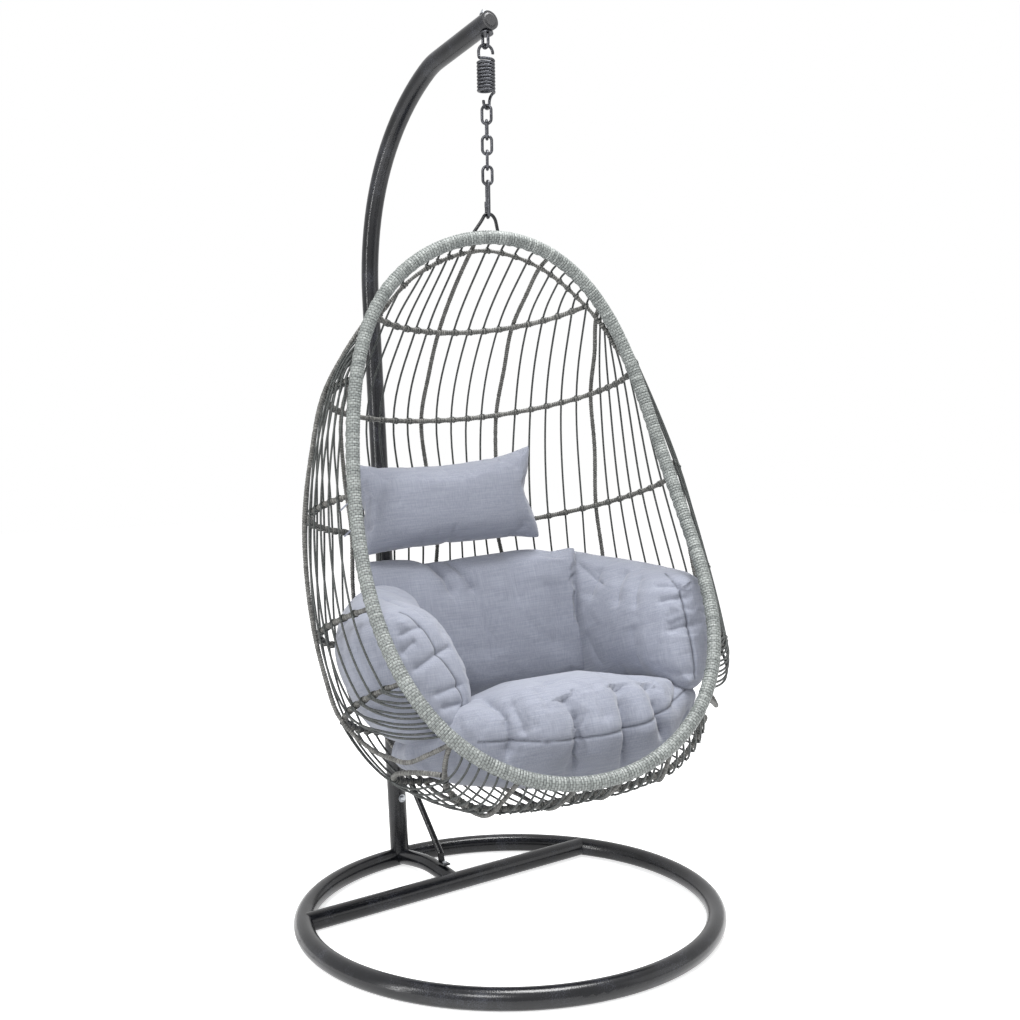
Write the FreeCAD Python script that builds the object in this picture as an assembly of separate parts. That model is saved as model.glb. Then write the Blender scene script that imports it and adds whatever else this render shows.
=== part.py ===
import FreeCAD, Part
import math
import os

# Hanging egg chair on a bent-tube stand. Millimetres, +Z up, the open side of the
# basket towards -Y. The origin is on the floor, plumb below the hanging eye.

# Stand
ring_radius = 453.5
ring_tube = 21.5
ring_centre_y = -43.7
flat_cut = 0.5
tube_wall = 2.0
crossbar_tube = 21.0
crossbar_y = 171.8
floor_gap = 0.2
post_foot_y = 405.3
spur_tube = 18.5
spur_stops = ((403.3, 22.0), (340.0, 32.0), (279.3, 36.0), (225.0, 31.0), (171.8, 24.0))
post_lean = 0.062
pole_tube = 21.2
socket_bore = 21.5
socket_tube = 23.0
socket_top = 400.0
pole_foot = 110.0
pole_straight_top = 1425.0
pole_bends = ((593.0, 18.7), (472.0, 48.8), (166.0, 16.0))
arm_length = 200.6
bore_reach = 40.0
bore_play = 0.2
cap_plug = 10.0
cap_lid = 2.5
cap_steps = (5.0, 8.0, 1.5)
post_bolt_height = 171.0
post_bolt_radius = 4.0
post_bolt_tail = 34.0
post_bolt_seat = 25.0
bolt_head = (7.0, 3.0)
bolt_dome = 2.0
seat_gap = 0.4
washer = (9.5, 1.5)
nut_across = 13.0
post_nut_height = 7.0
brace_radius = 7.5
brace_low = (209.0, 54.5)
brace_high = 275.0
brace_stand_off = 3.4
brace_square = 0.7
tab_width = 18.0
tab_length = 30.0
tab_thick = 4.0
tab_beyond = 10.0
tab_bore = 3.2
neck_start = 12.0
neck_end = 30.0
neck_overlap = 4.0
brace_bolt = (3.0, 2.0, 2.2)
brace_bolt_head = (5.5, 3.5)
eye_shank = 4.0
eye_disc = (15.0, 3.0)
eye_shank_rise = 7.0
metal_gap = 0.1
top_washer = (10.0, 1.5)
top_nut_height = 4.0
top_nut_dome = 6.3
top_nut_bore = 6.0

# Hanging gear, on the plumb line through the origin
wire = 3.25
loose = 0.3
eye_half_width = 9.5
eye_bottom = 1912.2
coil_radius = 17.1
coil_pitch = 7.35
coil_top = 1887.2
coil_turns = 9
hook_lead = 0.09
upper_hook_radius = 16.6
upper_hook_turn = -15.0
lower_hook_radius = 13.2
lower_hook_turn = 25.0
lower_hook_bottom = 1782.5
link_length = 46.0
link_width = 27.0
link_turns = (-50.0, 48.0, -38.0, 53.0, -33.0)
hook_wire = 3.5
hook_height = 78.1
hook_bend = 10.5
hook_turn = 65.0
gate_low = 14.0
gate_high = 46.0
gate_radius = 3.1
gate_pivot_rise = 5.0
gate_foot = 3.6
pin_radius = 1.2
pin_bore_reach = 9.0
cheek_gap = 3.3
cheek_thick = 1.2
cheek_radius = 3.4
collar_depth = 4.0
stem_width = 6.0
stem_root = 2.0
sleeve_radius = 5.4
sleeve_length = 13.0
sleeve_rise = 3.6
loop_wire = 3.75
loop_bend = 18.0
loop_foot_angle = 3.5

# Basket: its own axes, u to its right, v forward and w up from the middle of the rim's top
basket_top = (-4.2, 3.5, 1505.1)
basket_yaw = -18.1
basket_tilt = 17.61
basket_roll = 4.41
basket_height = 1186.6
basket_middle = (0.0, -190.0, -650.0)
rim_step = 18
rim_width_waves = (394.5, -12.1, 24.5, 5.2)
rim_depth_waves = (-33.0, -31.1, 49.5, 12.3, -3.0, 2.5, 2.8)
core_radius = 12.0
wrap_radius = 14.5
wrap_gap = 0.15
hoop_radius = 5.5
crown_radius = 4.2
rib_radius = 4.8
strand_radius = 2.4
rod_radius = {"crown_loop": crown_radius}
hoop_power = 1.93
# height, tilt, middle, half width and depth of each hoop's oval, and the depth it ends at
hoop_ovals = {
    "hoop_1": (-128.0, 0.07, -25.0, 275.0, 175.0, -86.0),
    "hoop_2": (-279.0, 0.07, -173.0, 367.0, 201.0, -84.0),
    "hoop_3": (-530.0, 0.07, -214.0, 437.0, 237.0, -95.0),
    "hoop_4": (-779.0, 0.07, -232.0, 450.0, 318.5, -53.0),
    "hoop_5": (-959.4, 0.19, -190.6, 433.3, 289.4, -17.0),
    "hoop_6": (-1098.0, 0.12, -190.0, 353.0, 236.0, -100.0),
}
hoop_spans = 12
# The stretch of the rim, in degrees from its top, where each kind of rod may end
crown_span = (30, 90)
bottom_span = (120, 170)
hoop_span = (40, 140)
top_span = 66
rim_search_step = 0.1
crown_middle_span = 30
# Hoops 1 and 6 end on another rod, at a share of its half length
held_hoops = {"hoop_1": "crown_loop", "hoop_6": "bottom_hoop"}
held_shares = (0.5, 0.95)
held_steps = 60
crown_half = (
    (0.0, -48.0, -9.0),
    (80.0, -55.0, -22.0),
    (150.0, -66.0, -52.0),
    (233.0, -84.0, -122.0),
    (290.0, -98.0, -195.0),
    (315.0, -102.0, -252.0),
)
crown_end_angle = 60.0
bottom_half = (
    (0.0, -118.0, -1212.0),
    (130.0, -116.0, -1208.0),
    (232.0, -108.0, -1186.0),
    (279.0, -84.0, -1146.0),
    (288.0, -44.0, -1100.0),
)
bottom_end_angle = 141.0

# Lines from crown to bottom, numbered from left to right: 36 strands and 6 ribs
line_count = 42
ribs = {"rib_side_left": 5, "rib_left": 12, "rib_back_left": 18, "rib_back_right": 23, "rib_right": 29,
        "rib_side_right": 36}
side_ribs = (5, 36)
middle_line = 20.5
middle_lines = 3
# Where the numbered lines cross each rod, as a share of its half length from the middle
crossings = {
    "crown_loop": {6: -0.9, 11: -0.64, 12: -0.59, 14: -0.288, 18: -0.036,
                   23: 0.342, 27: 0.576, 29: 0.72, 30: 0.75, 35: 0.9},
    "hoop_1": {11: -1.0, 12: -0.94, 18: -0.27, 23: 0.37, 28: 1.0},
    "hoop_2": {0: -0.985, 4: -0.9, 5: -0.862, 7: -0.803, 11: -0.64, 12: -0.594, 18: -0.182, 23: 0.166,
               24: 0.251, 28: 0.529, 29: 0.594, 30: 0.64, 34: 0.803, 36: 0.862, 37: 0.9, 41: 0.985},
    "hoop_3": {0: -0.965, 4: -0.84, 5: -0.775, 6: -0.731, 11: -0.519, 12: -0.471, 18: -0.125,
               23: 0.1, 25: 0.231, 28: 0.42, 29: 0.471, 30: 0.519, 35: 0.731,
               36: 0.775, 37: 0.84, 41: 0.965},
    "hoop_4": {0: -0.955, 4: -0.79, 5: -0.752, 6: -0.72, 11: -0.48, 12: -0.42, 18: -0.14,
               23: 0.14, 29: 0.42, 30: 0.48, 35: 0.72, 36: 0.752, 37: 0.79, 41: 0.955},
    "hoop_5": {0: -0.956, 4: -0.79, 5: -0.735, 6: -0.69, 12: -0.42, 18: -0.15,
               23: 0.15, 29: 0.42, 35: 0.69, 36: 0.735, 37: 0.79, 41: 0.956},
    "hoop_6": {6: -0.7, 35: 0.7},
    "bottom_hoop": {6: -0.78, 35: 0.78},
}
crossed_by = {
    "crown_loop": range(6, 36),
    "hoop_1": range(12, 28),
    "hoop_2": range(line_count),
    "hoop_3": range(line_count),
    "hoop_4": range(line_count),
    "hoop_5": range(line_count),
    "hoop_6": range(6, 36),
    "bottom_hoop": range(6, 36),
}
# The outermost lines pass the crown loop and start on the rim
outer_top_angle = 53.5
outer_top_step = 2.0
side_rib_top = 41.5
# Beside the seat each cord runs to the rim and back, so two strands leave each knot
side_end_angle = 126.5
side_end_step = 2.9
return_angle = 1.4
return_share = 0.011
front_end_step = 2.45
rib_end_angle = 141.5
side_rib_bends = ((392.0, -185.0, -1040.0), (350.0, -85.0, -1080.0))
side_sag = 0.12
rib_run = 110.0
rib_bow = 0.025
crossing_gap = 0.8
# The band that a stretch of strand belongs to, from the rod it ends at
band_names = {
    "crown_loop": "strands_crown", "hoop_1": "strands_crown", "hoop_2": "strands_upper",
    "hoop_3": "strands_middle", "hoop_4": "strands_lower", "hoop_5": "strands_seat",
    "hoop_6": "strands_bowl", "bottom_hoop": "strands_bottom", "sag": "strands_sides",
}

# Cushions, in the basket's axes: place along the length, half height and half thickness
seam_share = 0.62
corner_share = 0.86
seat_seam_share = 0.8
seat_corner_share = 0.92
pillow_middle = (-88.0, -352.0, -502.0)
pillow_half_length = 212.0
pillow_bow = 26.0
pillow_lean = 0.22
pillow_profile = (
    (-1.0, 110.0, 14.0), (-0.93, 108.0, 36.0), (-0.7, 104.0, 58.0), (-0.35, 102.0, 68.0), (0.0, 101.0, 71.0),
    (0.35, 102.0, 68.0), (0.7, 104.0, 58.0), (0.93, 108.0, 36.0), (1.0, 110.0, 14.0),
)
back_middle = (-50.0, -424.0, -790.0)
back_half_length = 262.0
back_bow = 62.0
back_lean = 0.12
back_profile = (
    (-1.0, 176.0, 12.0), (-0.93, 182.0, 36.0), (-0.6, 184.0, 60.0), (-0.2, 182.0, 66.0),
    (0.2, 182.0, 66.0), (0.6, 184.0, 60.0), (0.93, 182.0, 36.0), (1.0, 176.0, 12.0),
)
# Middle, outward lean, half height and half thickness along a bolster, mirrored for the left one
arm_starts = (
    ((196.0, -424.0, -800.0), 0.13, 165.0, 12.0),
    ((212.0, -412.0, -806.0), 0.13, 172.0, 42.0),
)
arm_runs = {
    1: (
        ((252.0, -372.0, -822.0), 0.14, 166.0, 74.0),
        ((300.0, -300.0, -846.0), 0.16, 156.0, 92.0),
        ((330.0, -225.0, -872.0), 0.2, 146.0, 96.0),
        ((336.0, -158.0, -892.0), 0.22, 138.0, 86.0),
        ((328.0, -106.0, -902.0), 0.24, 128.0, 56.0),
        ((322.0, -82.0, -906.0), 0.24, 114.0, 20.0),
    ),
    -1: (
        ((250.0, -372.0, -822.0), 0.16, 170.0, 78.0),
        ((290.0, -300.0, -850.0), 0.22, 164.0, 106.0),
        ((300.0, -225.0, -878.0), 0.3, 156.0, 122.0),
        ((292.0, -155.0, -900.0), 0.34, 150.0, 122.0),
        ((282.0, -106.0, -910.0), 0.36, 140.0, 92.0),
        ((276.0, -76.0, -914.0), 0.36, 122.0, 30.0),
    ),
}
# Place across, place ahead, height, half depth and half thickness of the seat pad
seat_rise = -0.08
seat_stations = (
    (-344.0, -205.0, -1056.0, 66.0, 13.0),
    (-312.0, -202.0, -1058.0, 102.0, 38.0),
    (-212.0, -190.0, -1062.0, 158.0, 80.0),
    (-80.0, -182.0, -1062.0, 186.0, 112.0),
    (80.0, -182.0, -1062.0, 186.0, 112.0),
    (212.0, -190.0, -1062.0, 158.0, 78.0),
    (312.0, -202.0, -1060.0, 100.0, 36.0),
    (344.0, -205.0, -1058.0, 64.0, 12.0),
)
tie_start = (-305.0, -318.0, -470.0)
tie_end = (-345.0, -320.0, -500.0)
tie_drops = (0.0, 60.0)
tie_radius = 2.0

vec = FreeCAD.Vector
up_axis = vec(0, 0, 1)


# Small geometry helpers

def turned(turn):
    return vec(math.cos(math.radians(turn)), math.sin(math.radians(turn)), 0)


def spread(anchors, number):
    low = max(key for key in anchors if key <= number)
    high = min(key for key in anchors if key >= number)
    if low == high:
        return anchors[low]
    share = (number - low) / (high - low)
    return anchors[low] + share * (anchors[high] - anchors[low])


# The arc that leaves a point along a direction and ends at another point
def arc_to(start, direction, end):
    chord = end - start
    side = direction - chord * (direction.dot(chord) / chord.dot(chord))
    if side.Length < 1e-5:
        return Part.LineSegment(start, end).toShape()
    side.normalize()
    rise = chord.Length / 2 * math.tan(direction.getAngle(chord) / 2)
    return Part.Arc(start, (start + end) * 0.5 + side * rise, end).toShape()


# Two arcs that join smoothly between two points with given directions
def biarc(start, leaving, end, arriving):
    chord = end - start
    along = chord.dot(leaving + arriving)
    bend = 2 * (1 - leaving.dot(arriving))
    square = chord.dot(chord)
    reach = square / (along + math.sqrt(along * along + bend * square))
    near = start + leaving * reach
    far = end - arriving * reach
    middle = (near + far) * 0.5
    return [arc_to(start, leaving, middle), arc_to(middle, (far - near).normalize(), end)]


# Directions at each point, from the circle through it and its two neighbours
def directions(points, closed):
    count = len(points)
    found = []
    for index, point in enumerate(points):
        if not closed and index in (0, count - 1):
            found.append(None)
            continue
        back = point - points[index - 1]
        ahead = points[(index + 1) % count] - point
        found.append((back * (1 / back.dot(back)) + ahead * (1 / ahead.dot(ahead))).normalize())
    if not closed:
        end_directions(points, found)
    return found


# Sets the first and last direction, each the mirror of its neighbour about the run between them
def end_directions(points, found):
    for end, beside in ((0, 1), (-1, -2)):
        chord = (points[end] - points[beside]).normalize()
        found[end] = chord * (2 * found[beside].dot(chord)) - found[beside]


# Directions of a slack cord, which keep its long runs straighter than its short ones
def slack_directions(points):
    inner = [(ahead - back).normalize() for back, ahead in zip(points, points[2:])]
    found = [None] + inner + [None]
    end_directions(points, found)
    return found


def guided_path(points, headings, closed=False):
    pairs = [(index, index + 1) for index in range(len(points) - 1)]
    if closed:
        pairs.append((len(points) - 1, 0))
    edges = []
    for first, second in pairs:
        edges += biarc(points[first], headings[first], points[second], headings[second])
    return edges


def smooth_path(points, closed=False):
    return guided_path(points, directions(points, closed), closed)


def sweep(edges, radius):
    start = edges[0].valueAt(edges[0].FirstParameter)
    heading = edges[0].tangentAt(edges[0].FirstParameter)
    profile = Part.Wire([Part.Circle(start, heading, radius).toShape()])
    return Part.Wire(edges).makePipeShell([profile], True, False)


def pipe(edges, radius, bore):
    return sweep(edges, radius).cut(sweep(edges, bore))


def rod(start, end, radius):
    return Part.makeCylinder(radius, (end - start).Length, start, end - start)


# The point and direction at a share of a path's half length from its middle
def along_path(edges, share):
    lengths = [edge.Length for edge in edges]
    target = sum(lengths) * (share + 1) / 2
    for edge, length in zip(edges, lengths):
        if target <= length or edge is edges[-1]:
            place = edge.getParameterByLength(min(target, length))
            return edge.valueAt(place), edge.tangentAt(place)
        target -= length


def save(name, shape):
    shape.exportStep("parts/" + name + ".step")
    print(name, shape.isValid(), len(shape.Solids), round(shape.Volume))


# Stand

def torus(tube):
    return Part.makeTorus(ring_radius, tube, vec(0, ring_centre_y, ring_tube - flat_cut))


def base_ring():
    reach = ring_radius + 2 * ring_tube
    below = Part.makeBox(2 * reach, 2 * reach, ring_tube, vec(-reach, ring_centre_y - reach, -ring_tube))
    return torus(ring_tube).cut(torus(ring_tube - tube_wall)).cut(below)


def cross_rod(radius):
    half = math.sqrt(ring_radius ** 2 - (crossbar_y - ring_centre_y) ** 2)
    height = crossbar_tube + floor_gap
    return rod(vec(-half, crossbar_y, height), vec(half, crossbar_y, height), radius)


def crossbar():
    bar = cross_rod(crossbar_tube).cut(cross_rod(crossbar_tube - tube_wall))
    return largest(bar.cut(torus(ring_tube)))


def largest(shape):
    return max(shape.Solids, key=lambda solid: solid.Volume)


def spur():
    points = [vec(0, ahead, height) for ahead, height in spur_stops]
    tube = pipe(smooth_path(points), spur_tube, spur_tube - tube_wall)
    return largest(tube.cut(cross_rod(crossbar_tube)).cut(torus(ring_tube)).cut(post_sleeve(socket_tube)))


def on_post(height):
    return vec(0, post_foot_y + post_lean * height, height)


def post_sleeve(radius):
    return rod(on_post(ring_tube), on_post(socket_top), radius)


# The unit direction square to the post, towards the front
def post_front():
    return vec(0, -1, post_lean).normalize()


def post_bolt_hole():
    seat = on_post(post_bolt_height)
    reach = post_front() * bore_reach
    return rod(seat - reach, seat + reach, post_bolt_radius + bore_play)


def post_socket():
    sleeve = post_sleeve(socket_tube).cut(post_sleeve(socket_bore)).cut(torus(ring_tube))
    return largest(sleeve.cut(post_bolt_hole()))


# Straight leaning run, three bends one after another, then the straight arm
def pole_path():
    heading = -math.atan(post_lean)
    points = [on_post(pole_foot), on_post(pole_straight_top)]
    edges = [Part.LineSegment(points[0], points[1]).toShape()]
    here = points[1]
    for radius, turn in pole_bends:
        swing = math.radians(turn)
        centre = here + vec(0, -math.cos(heading), -math.sin(heading)) * radius

        def on_bend(angle):
            return centre + vec(0, math.cos(angle), math.sin(angle)) * radius

        edges.append(Part.Arc(here, on_bend(heading + swing / 2), on_bend(heading + swing)).toShape())
        here = on_bend(heading + swing)
        heading += swing
    tip = here + vec(0, -math.sin(heading), math.cos(heading)) * arm_length
    edges.append(Part.LineSegment(here, tip).toShape())
    return edges, tip, vec(0, -math.sin(heading), math.cos(heading))


def arm_frame():
    edges, tip, heading = pole_path()
    normal = heading.cross(vec(-1, 0, 0)).normalize()
    if normal.z < 0:
        normal = normal * -1
    middle = tip - heading * (tip.y / heading.y)
    return middle, heading, normal


def pole():
    edges, tip, heading = pole_path()
    middle, heading, normal = arm_frame()
    tube = pipe(edges, pole_tube, pole_tube - tube_wall)
    shank_hole = rod(middle - normal * bore_reach, middle + normal * bore_reach, eye_shank + loose)
    return largest(tube.cut(shank_hole).cut(post_bolt_hole()))


# A plug in the arm's open end, with a rim that covers the cut edge
def pole_end_cap():
    edges, tip, heading = pole_path()
    step, taper, rise = cap_steps
    plug = rod(tip - heading * cap_plug, tip, pole_tube - tube_wall - metal_gap)
    lid = rod(tip, tip + heading * cap_lid, pole_tube)
    raised = Part.makeCone(pole_tube - step, pole_tube - taper, rise, tip + heading * cap_lid, heading)
    return plug.fuse([lid, raised])


# A round head or nut on the post's front or back, clear of the sleeve's curve
def post_bolt():
    front = post_front()
    middle = on_post(post_bolt_height)
    radius, height = bolt_head
    seat = middle + front * post_bolt_seat
    shank = rod(middle - front * post_bolt_tail, seat, post_bolt_radius)
    head = rod(seat, seat + front * height, radius)
    dome = Part.makeCone(radius, post_bolt_radius, bolt_dome, seat + front * height, front)
    return shank.fuse([head, dome])


def ring_disc(seat, axis, radius, height, bore):
    return rod(seat, seat + axis * height, radius).cut(rod(seat, seat + axis * height, bore))


def post_washer():
    seat = on_post(post_bolt_height) + post_front() * (socket_tube + seat_gap)
    return ring_disc(seat, post_front(), *washer, post_bolt_radius)


def hexagon(centre, axis, across, height, bore):
    ring = []
    side = axis.cross(vec(1, 0, 0)).normalize()
    other = axis.cross(side).normalize()
    for corner in range(7):
        angle = math.radians(60 * corner)
        reach = across / math.sqrt(3)
        ring.append(centre + side * (reach * math.cos(angle)) + other * (reach * math.sin(angle)))
    block = Part.Face(Part.makePolygon(ring)).extrude(axis * height)
    return block.cut(Part.makeCylinder(bore, height, centre, axis))


def post_nut():
    seat = on_post(post_bolt_height) - post_front() * (socket_tube + seat_gap)
    return hexagon(seat, post_front() * -1, nut_across, post_nut_height, post_bolt_radius)


def brace_ends():
    low = vec(0, *brace_low)
    high = on_post(brace_high) + post_front() * (socket_tube + brace_stand_off)
    return low, high


# Round rod with both ends pressed flat and bored for a bolt
def brace_rod():
    low, high = brace_ends()
    along = (high - low).normalize()
    cut_back = along * (neck_end - neck_overlap)
    bar = rod(low + cut_back, high - cut_back, brace_radius)
    tabs = []
    for end, axis, inward in ((low, up_axis, along), (high, post_front(), along * -1)):
        flat = inward - axis * inward.dot(axis)
        flat.normalize()
        corner = vec(-tab_width / 2, -tab_beyond, -tab_thick / 2)
        pad = Part.makeBox(tab_width, tab_length, tab_thick, corner)
        place = FreeCAD.Matrix()
        across = flat.cross(axis)
        place.A11, place.A21, place.A31 = across.x, across.y, across.z
        place.A12, place.A22, place.A32 = flat.x, flat.y, flat.z
        place.A13, place.A23, place.A33 = axis.x, axis.y, axis.z
        pad = pad.transformGeometry(place)
        pad.translate(end)
        neck = loft_between(end + flat * neck_start, axis, across, end + inward * neck_end, inward)
        tabs.append(pad.fuse(neck).cut(rod(end - axis * tab_thick, end + axis * tab_thick, tab_bore)))
    return bar.fuse(tabs)


def rectangle(centre, wide, high):
    ring = [centre + wide + high, centre - wide + high, centre - wide - high, centre + wide - high]
    return Part.makePolygon(ring + ring[:1])


# A neck that goes from a flat tab to the round rod
def loft_between(flat_end, axis, across, round_end, inward):
    lift = inward.cross(across).normalize() * (brace_radius * brace_square)
    if lift.dot(axis) < 0:
        lift = lift * -1
    first = rectangle(flat_end, across * (tab_width / 2), axis * (tab_thick / 2))
    second = rectangle(round_end, across * (brace_radius * brace_square), lift)
    return Part.makeLoft([first, second], True, True)


def brace_bolts():
    low, high = brace_ends()
    radius, tail, seat_height = brace_bolt
    head_radius, head_height = brace_bolt_head
    pieces = []
    for middle, axis in ((low, up_axis), (high, post_front())):
        seat = middle + axis * seat_height
        shank = rod(middle - axis * tail, seat, radius)
        pieces.append(shank.fuse(rod(seat, seat + axis * head_height, head_radius)))
    return Part.makeCompound(pieces)


# A bent wire eye on a disc under the arm, with a shank through the arm
def hanger_eye():
    middle, heading, normal = arm_frame()
    radius, thick = eye_disc
    under = middle - normal * (pole_tube + metal_gap)
    disc = rod(under - normal * thick, under, radius)
    shank = rod(under - normal * thick, middle + normal * (pole_tube + eye_shank_rise), eye_shank)
    bend_centre = eye_bottom + eye_half_width
    lift = under.z - thick - bend_centre
    left = vec(0, -eye_half_width, bend_centre)
    right = vec(0, eye_half_width, bend_centre)
    path = [
        Part.LineSegment(left + up_axis * lift, left).toShape(),
        Part.Arc(left, vec(0, 0, eye_bottom), right).toShape(),
        Part.LineSegment(right, right + up_axis * lift).toShape(),
    ]
    return disc.fuse([shank, sweep(path, wire)])


def hanger_washer():
    middle, heading, normal = arm_frame()
    return ring_disc(middle + normal * (pole_tube + metal_gap), normal, *top_washer, eye_shank)


def hanger_nut():
    middle, heading, normal = arm_frame()
    seat = middle + normal * (pole_tube + metal_gap + top_washer[1])
    base = hexagon(seat, normal, nut_across, top_nut_height, eye_shank)
    dome = Part.makeSphere(top_nut_dome, seat + normal * top_nut_height, normal, 0, 90, 360)
    return base.fuse(dome).cut(rod(seat, seat + normal * top_nut_bore, eye_shank))


# Tension spring: one wire with a hook at each end of its coil

def coil_spot(turns_down, start_turn):
    angle = math.radians(start_turn + 360 * turns_down)
    out = vec(math.cos(angle), math.sin(angle), 0) * coil_radius
    point = out + up_axis * (coil_top - coil_pitch * turns_down)
    return point, vec(-out.y, out.x, -coil_pitch / (2 * math.pi)).normalize()


# A point on a hook's bend and the wire's direction there; way is 1 up over the top, -1 down
def hook_spot(turn, angle, radius, centre_height, way):
    out = turned(turn) * math.cos(math.radians(angle)) + up_axis * math.sin(math.radians(angle))
    along = up_axis * math.cos(math.radians(angle)) - turned(turn) * math.sin(math.radians(angle))
    return out * radius + up_axis * centre_height, along * way


def spring_path():
    upper_centre = eye_bottom + 2 * wire + loose - upper_hook_radius
    spots = [hook_spot(upper_hook_turn, angle, upper_hook_radius, upper_centre, 1)
             for angle in (-5, 42, 90, 135, 180)]
    start_turn = upper_hook_turn + 180
    total = coil_turns + ((lower_hook_turn - start_turn) % 360) / 360
    count = round((total - 2 * hook_lead) * 4)
    for index in range(count + 1):
        spots.append(coil_spot(hook_lead + (total - 2 * hook_lead) * index / count, start_turn))
    lower_centre = lower_hook_bottom + lower_hook_radius
    spots += [hook_spot(lower_hook_turn, angle, lower_hook_radius, lower_centre, -1)
              for angle in (0, -45, -90, -135, -185)]
    return guided_path([spot[0] for spot in spots], [spot[1] for spot in spots])


# The least distance between the surfaces of turns more than half a turn apart
def least_gap(edges, radius):
    points = []
    travelled = 0.0
    for edge in edges:
        count = max(2, int(edge.Length / 1.0))
        for index in range(count):
            place = edge.getParameterByLength(edge.Length * index / count)
            points.append((travelled + edge.Length * index / count, edge.valueAt(place)))
        travelled += edge.Length
    half_turn = math.pi * coil_radius
    least = min((first[1] - second[1]).Length for number, first in enumerate(points)
                for second in points[number + 1:] if second[0] - first[0] > half_turn)
    return least - 2 * radius


def tension_spring():
    edges = spring_path()
    tightest = min(edge.Curve.Radius for edge in edges if hasattr(edge.Curve, "Radius"))
    print("spring: least gap", round(least_gap(edges, wire), 2), "least bend", round(tightest, 1))
    return sweep(edges, wire)


# Chain links, snap hook and hanging loop

def link_top(number):
    drop = link_length - 4 * wire - loose
    return lower_hook_bottom + 2 * wire + loose - drop * number


def racetrack(turn, top, bend, height):
    side = turned(turn) * bend
    high = up_axis * (top - bend)
    low = up_axis * (top - height + bend)
    return [
        Part.Arc(high - side, up_axis * top, high + side).toShape(),
        Part.LineSegment(high + side, low + side).toShape(),
        Part.Arc(low + side, up_axis * (top - height), low - side).toShape(),
        Part.LineSegment(low - side, high - side).toShape(),
    ]


def chain_link(number):
    edges = racetrack(link_turns[number], link_top(number), link_width / 2 - wire, link_length - 2 * wire)
    near = sweep(edges[:2], wire)
    far = sweep(edges[2:], wire)
    return near.fuse(far).removeSplitter()


def hook_top():
    link_bottom = link_top(len(link_turns) - 1) - (link_length - 2 * wire)
    return link_bottom + wire + loose + hook_wire


# The body runs from the nose over the top, down the spine and round to the gate's fork
def snap_hook_body():
    top = hook_top()
    side = turned(hook_turn) * hook_bend
    high = up_axis * (top - hook_bend)
    low = up_axis * (top - hook_height + hook_bend)
    bottom = top - hook_height
    nose = side + up_axis * (bottom + gate_high)
    fork = side + up_axis * (bottom + gate_low)
    edges = [
        Part.LineSegment(nose, high + side).toShape(),
        Part.Arc(high + side, up_axis * top, high - side).toShape(),
        Part.LineSegment(high - side, low - side).toShape(),
        Part.Arc(low - side, up_axis * bottom, low + side).toShape(),
        Part.LineSegment(low + side, fork).toShape(),
    ]
    return sweep(edges, hook_wire).fuse(gate_fork(fork))


# Two cheeks on a collar at the wire's end, either side of the gate
def gate_fork(base):
    across = turned(hook_turn + 90)
    reach = cheek_gap + cheek_thick
    pieces = [rod(base - up_axis * collar_depth, base, reach)]
    for side in (-1, 1):
        cheek = rod(gate_pivot() + across * (side * cheek_gap), gate_pivot() + across * (side * reach),
                    cheek_radius)
        stem = Part.makeBox(stem_width, cheek_thick, gate_pivot_rise + stem_root,
                            vec(-stem_width / 2, cheek_gap, 0))
        stem.rotate(vec(0, 0, 0), up_axis, hook_turn if side == 1 else hook_turn + 180)
        stem.translate(base - up_axis * stem_root)
        pieces += [cheek, stem]
    return pieces[0].fuse(pieces[1:]).cut(gate_bore(pin_radius))


def gate_bore(radius):
    across = turned(hook_turn + 90) * pin_bore_reach
    return rod(gate_pivot() - across, gate_pivot() + across, radius)


def gate_pivot():
    bottom = hook_top() - hook_height
    return turned(hook_turn) * hook_bend + up_axis * (bottom + gate_low + gate_pivot_rise)


def snap_hook_gate():
    pivot = gate_pivot()
    length = gate_high - gate_low - gate_pivot_rise - loose
    shank = rod(pivot - up_axis * gate_foot, pivot + up_axis * length, gate_radius)
    return shank.cut(gate_bore(pin_radius + metal_gap))


def gate_pin():
    across = turned(hook_turn + 90)
    reach = cheek_gap + cheek_thick + metal_gap
    return rod(gate_pivot() - across * reach, gate_pivot() + across * reach, pin_radius)


def gate_sleeve():
    start = gate_pivot() + up_axis * sleeve_rise
    end = start + up_axis * sleeve_length
    return rod(start, end, sleeve_radius).cut(rod(start, end, hook_wire + loose))


def loop_apex():
    return hook_top() - hook_height + hook_wire + loose + loop_wire


# Basket

def basket_axes():
    yaw = math.radians(basket_yaw)
    tilt = math.radians(basket_tilt)
    roll = math.radians(basket_roll)
    level = vec(math.cos(yaw), math.sin(yaw), 0)
    ahead = vec(math.sin(yaw), -math.cos(yaw), 0)
    raised = up_axis * math.cos(tilt) - ahead * math.sin(tilt)
    forward = ahead * math.cos(tilt) + up_axis * math.sin(tilt)
    right = level * math.cos(roll) + raised * math.sin(roll)
    upward = raised * math.cos(roll) - level * math.sin(roll)
    return right, forward, upward


basket_right, basket_forward, basket_up = basket_axes()


def at(u, v, w):
    return vec(*basket_top) + basket_right * u + basket_forward * v + basket_up * w


# The rim's axis at an angle from its top, positive to the right
def rim_point(angle):
    turn = math.radians(angle)
    width = sum(size * math.sin((k + 1) * turn) for k, size in enumerate(rim_width_waves))
    depth = sum(size * math.cos(k * turn) for k, size in enumerate(rim_depth_waves))
    return at(width, depth, -basket_height / 2 * (1 - math.cos(turn)))


def rim_heading(angle):
    return (rim_point(angle + 0.5) - rim_point(angle - 0.5)).normalize()


def power(value, exponent):
    return math.copysign(abs(value) ** exponent, value)


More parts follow.
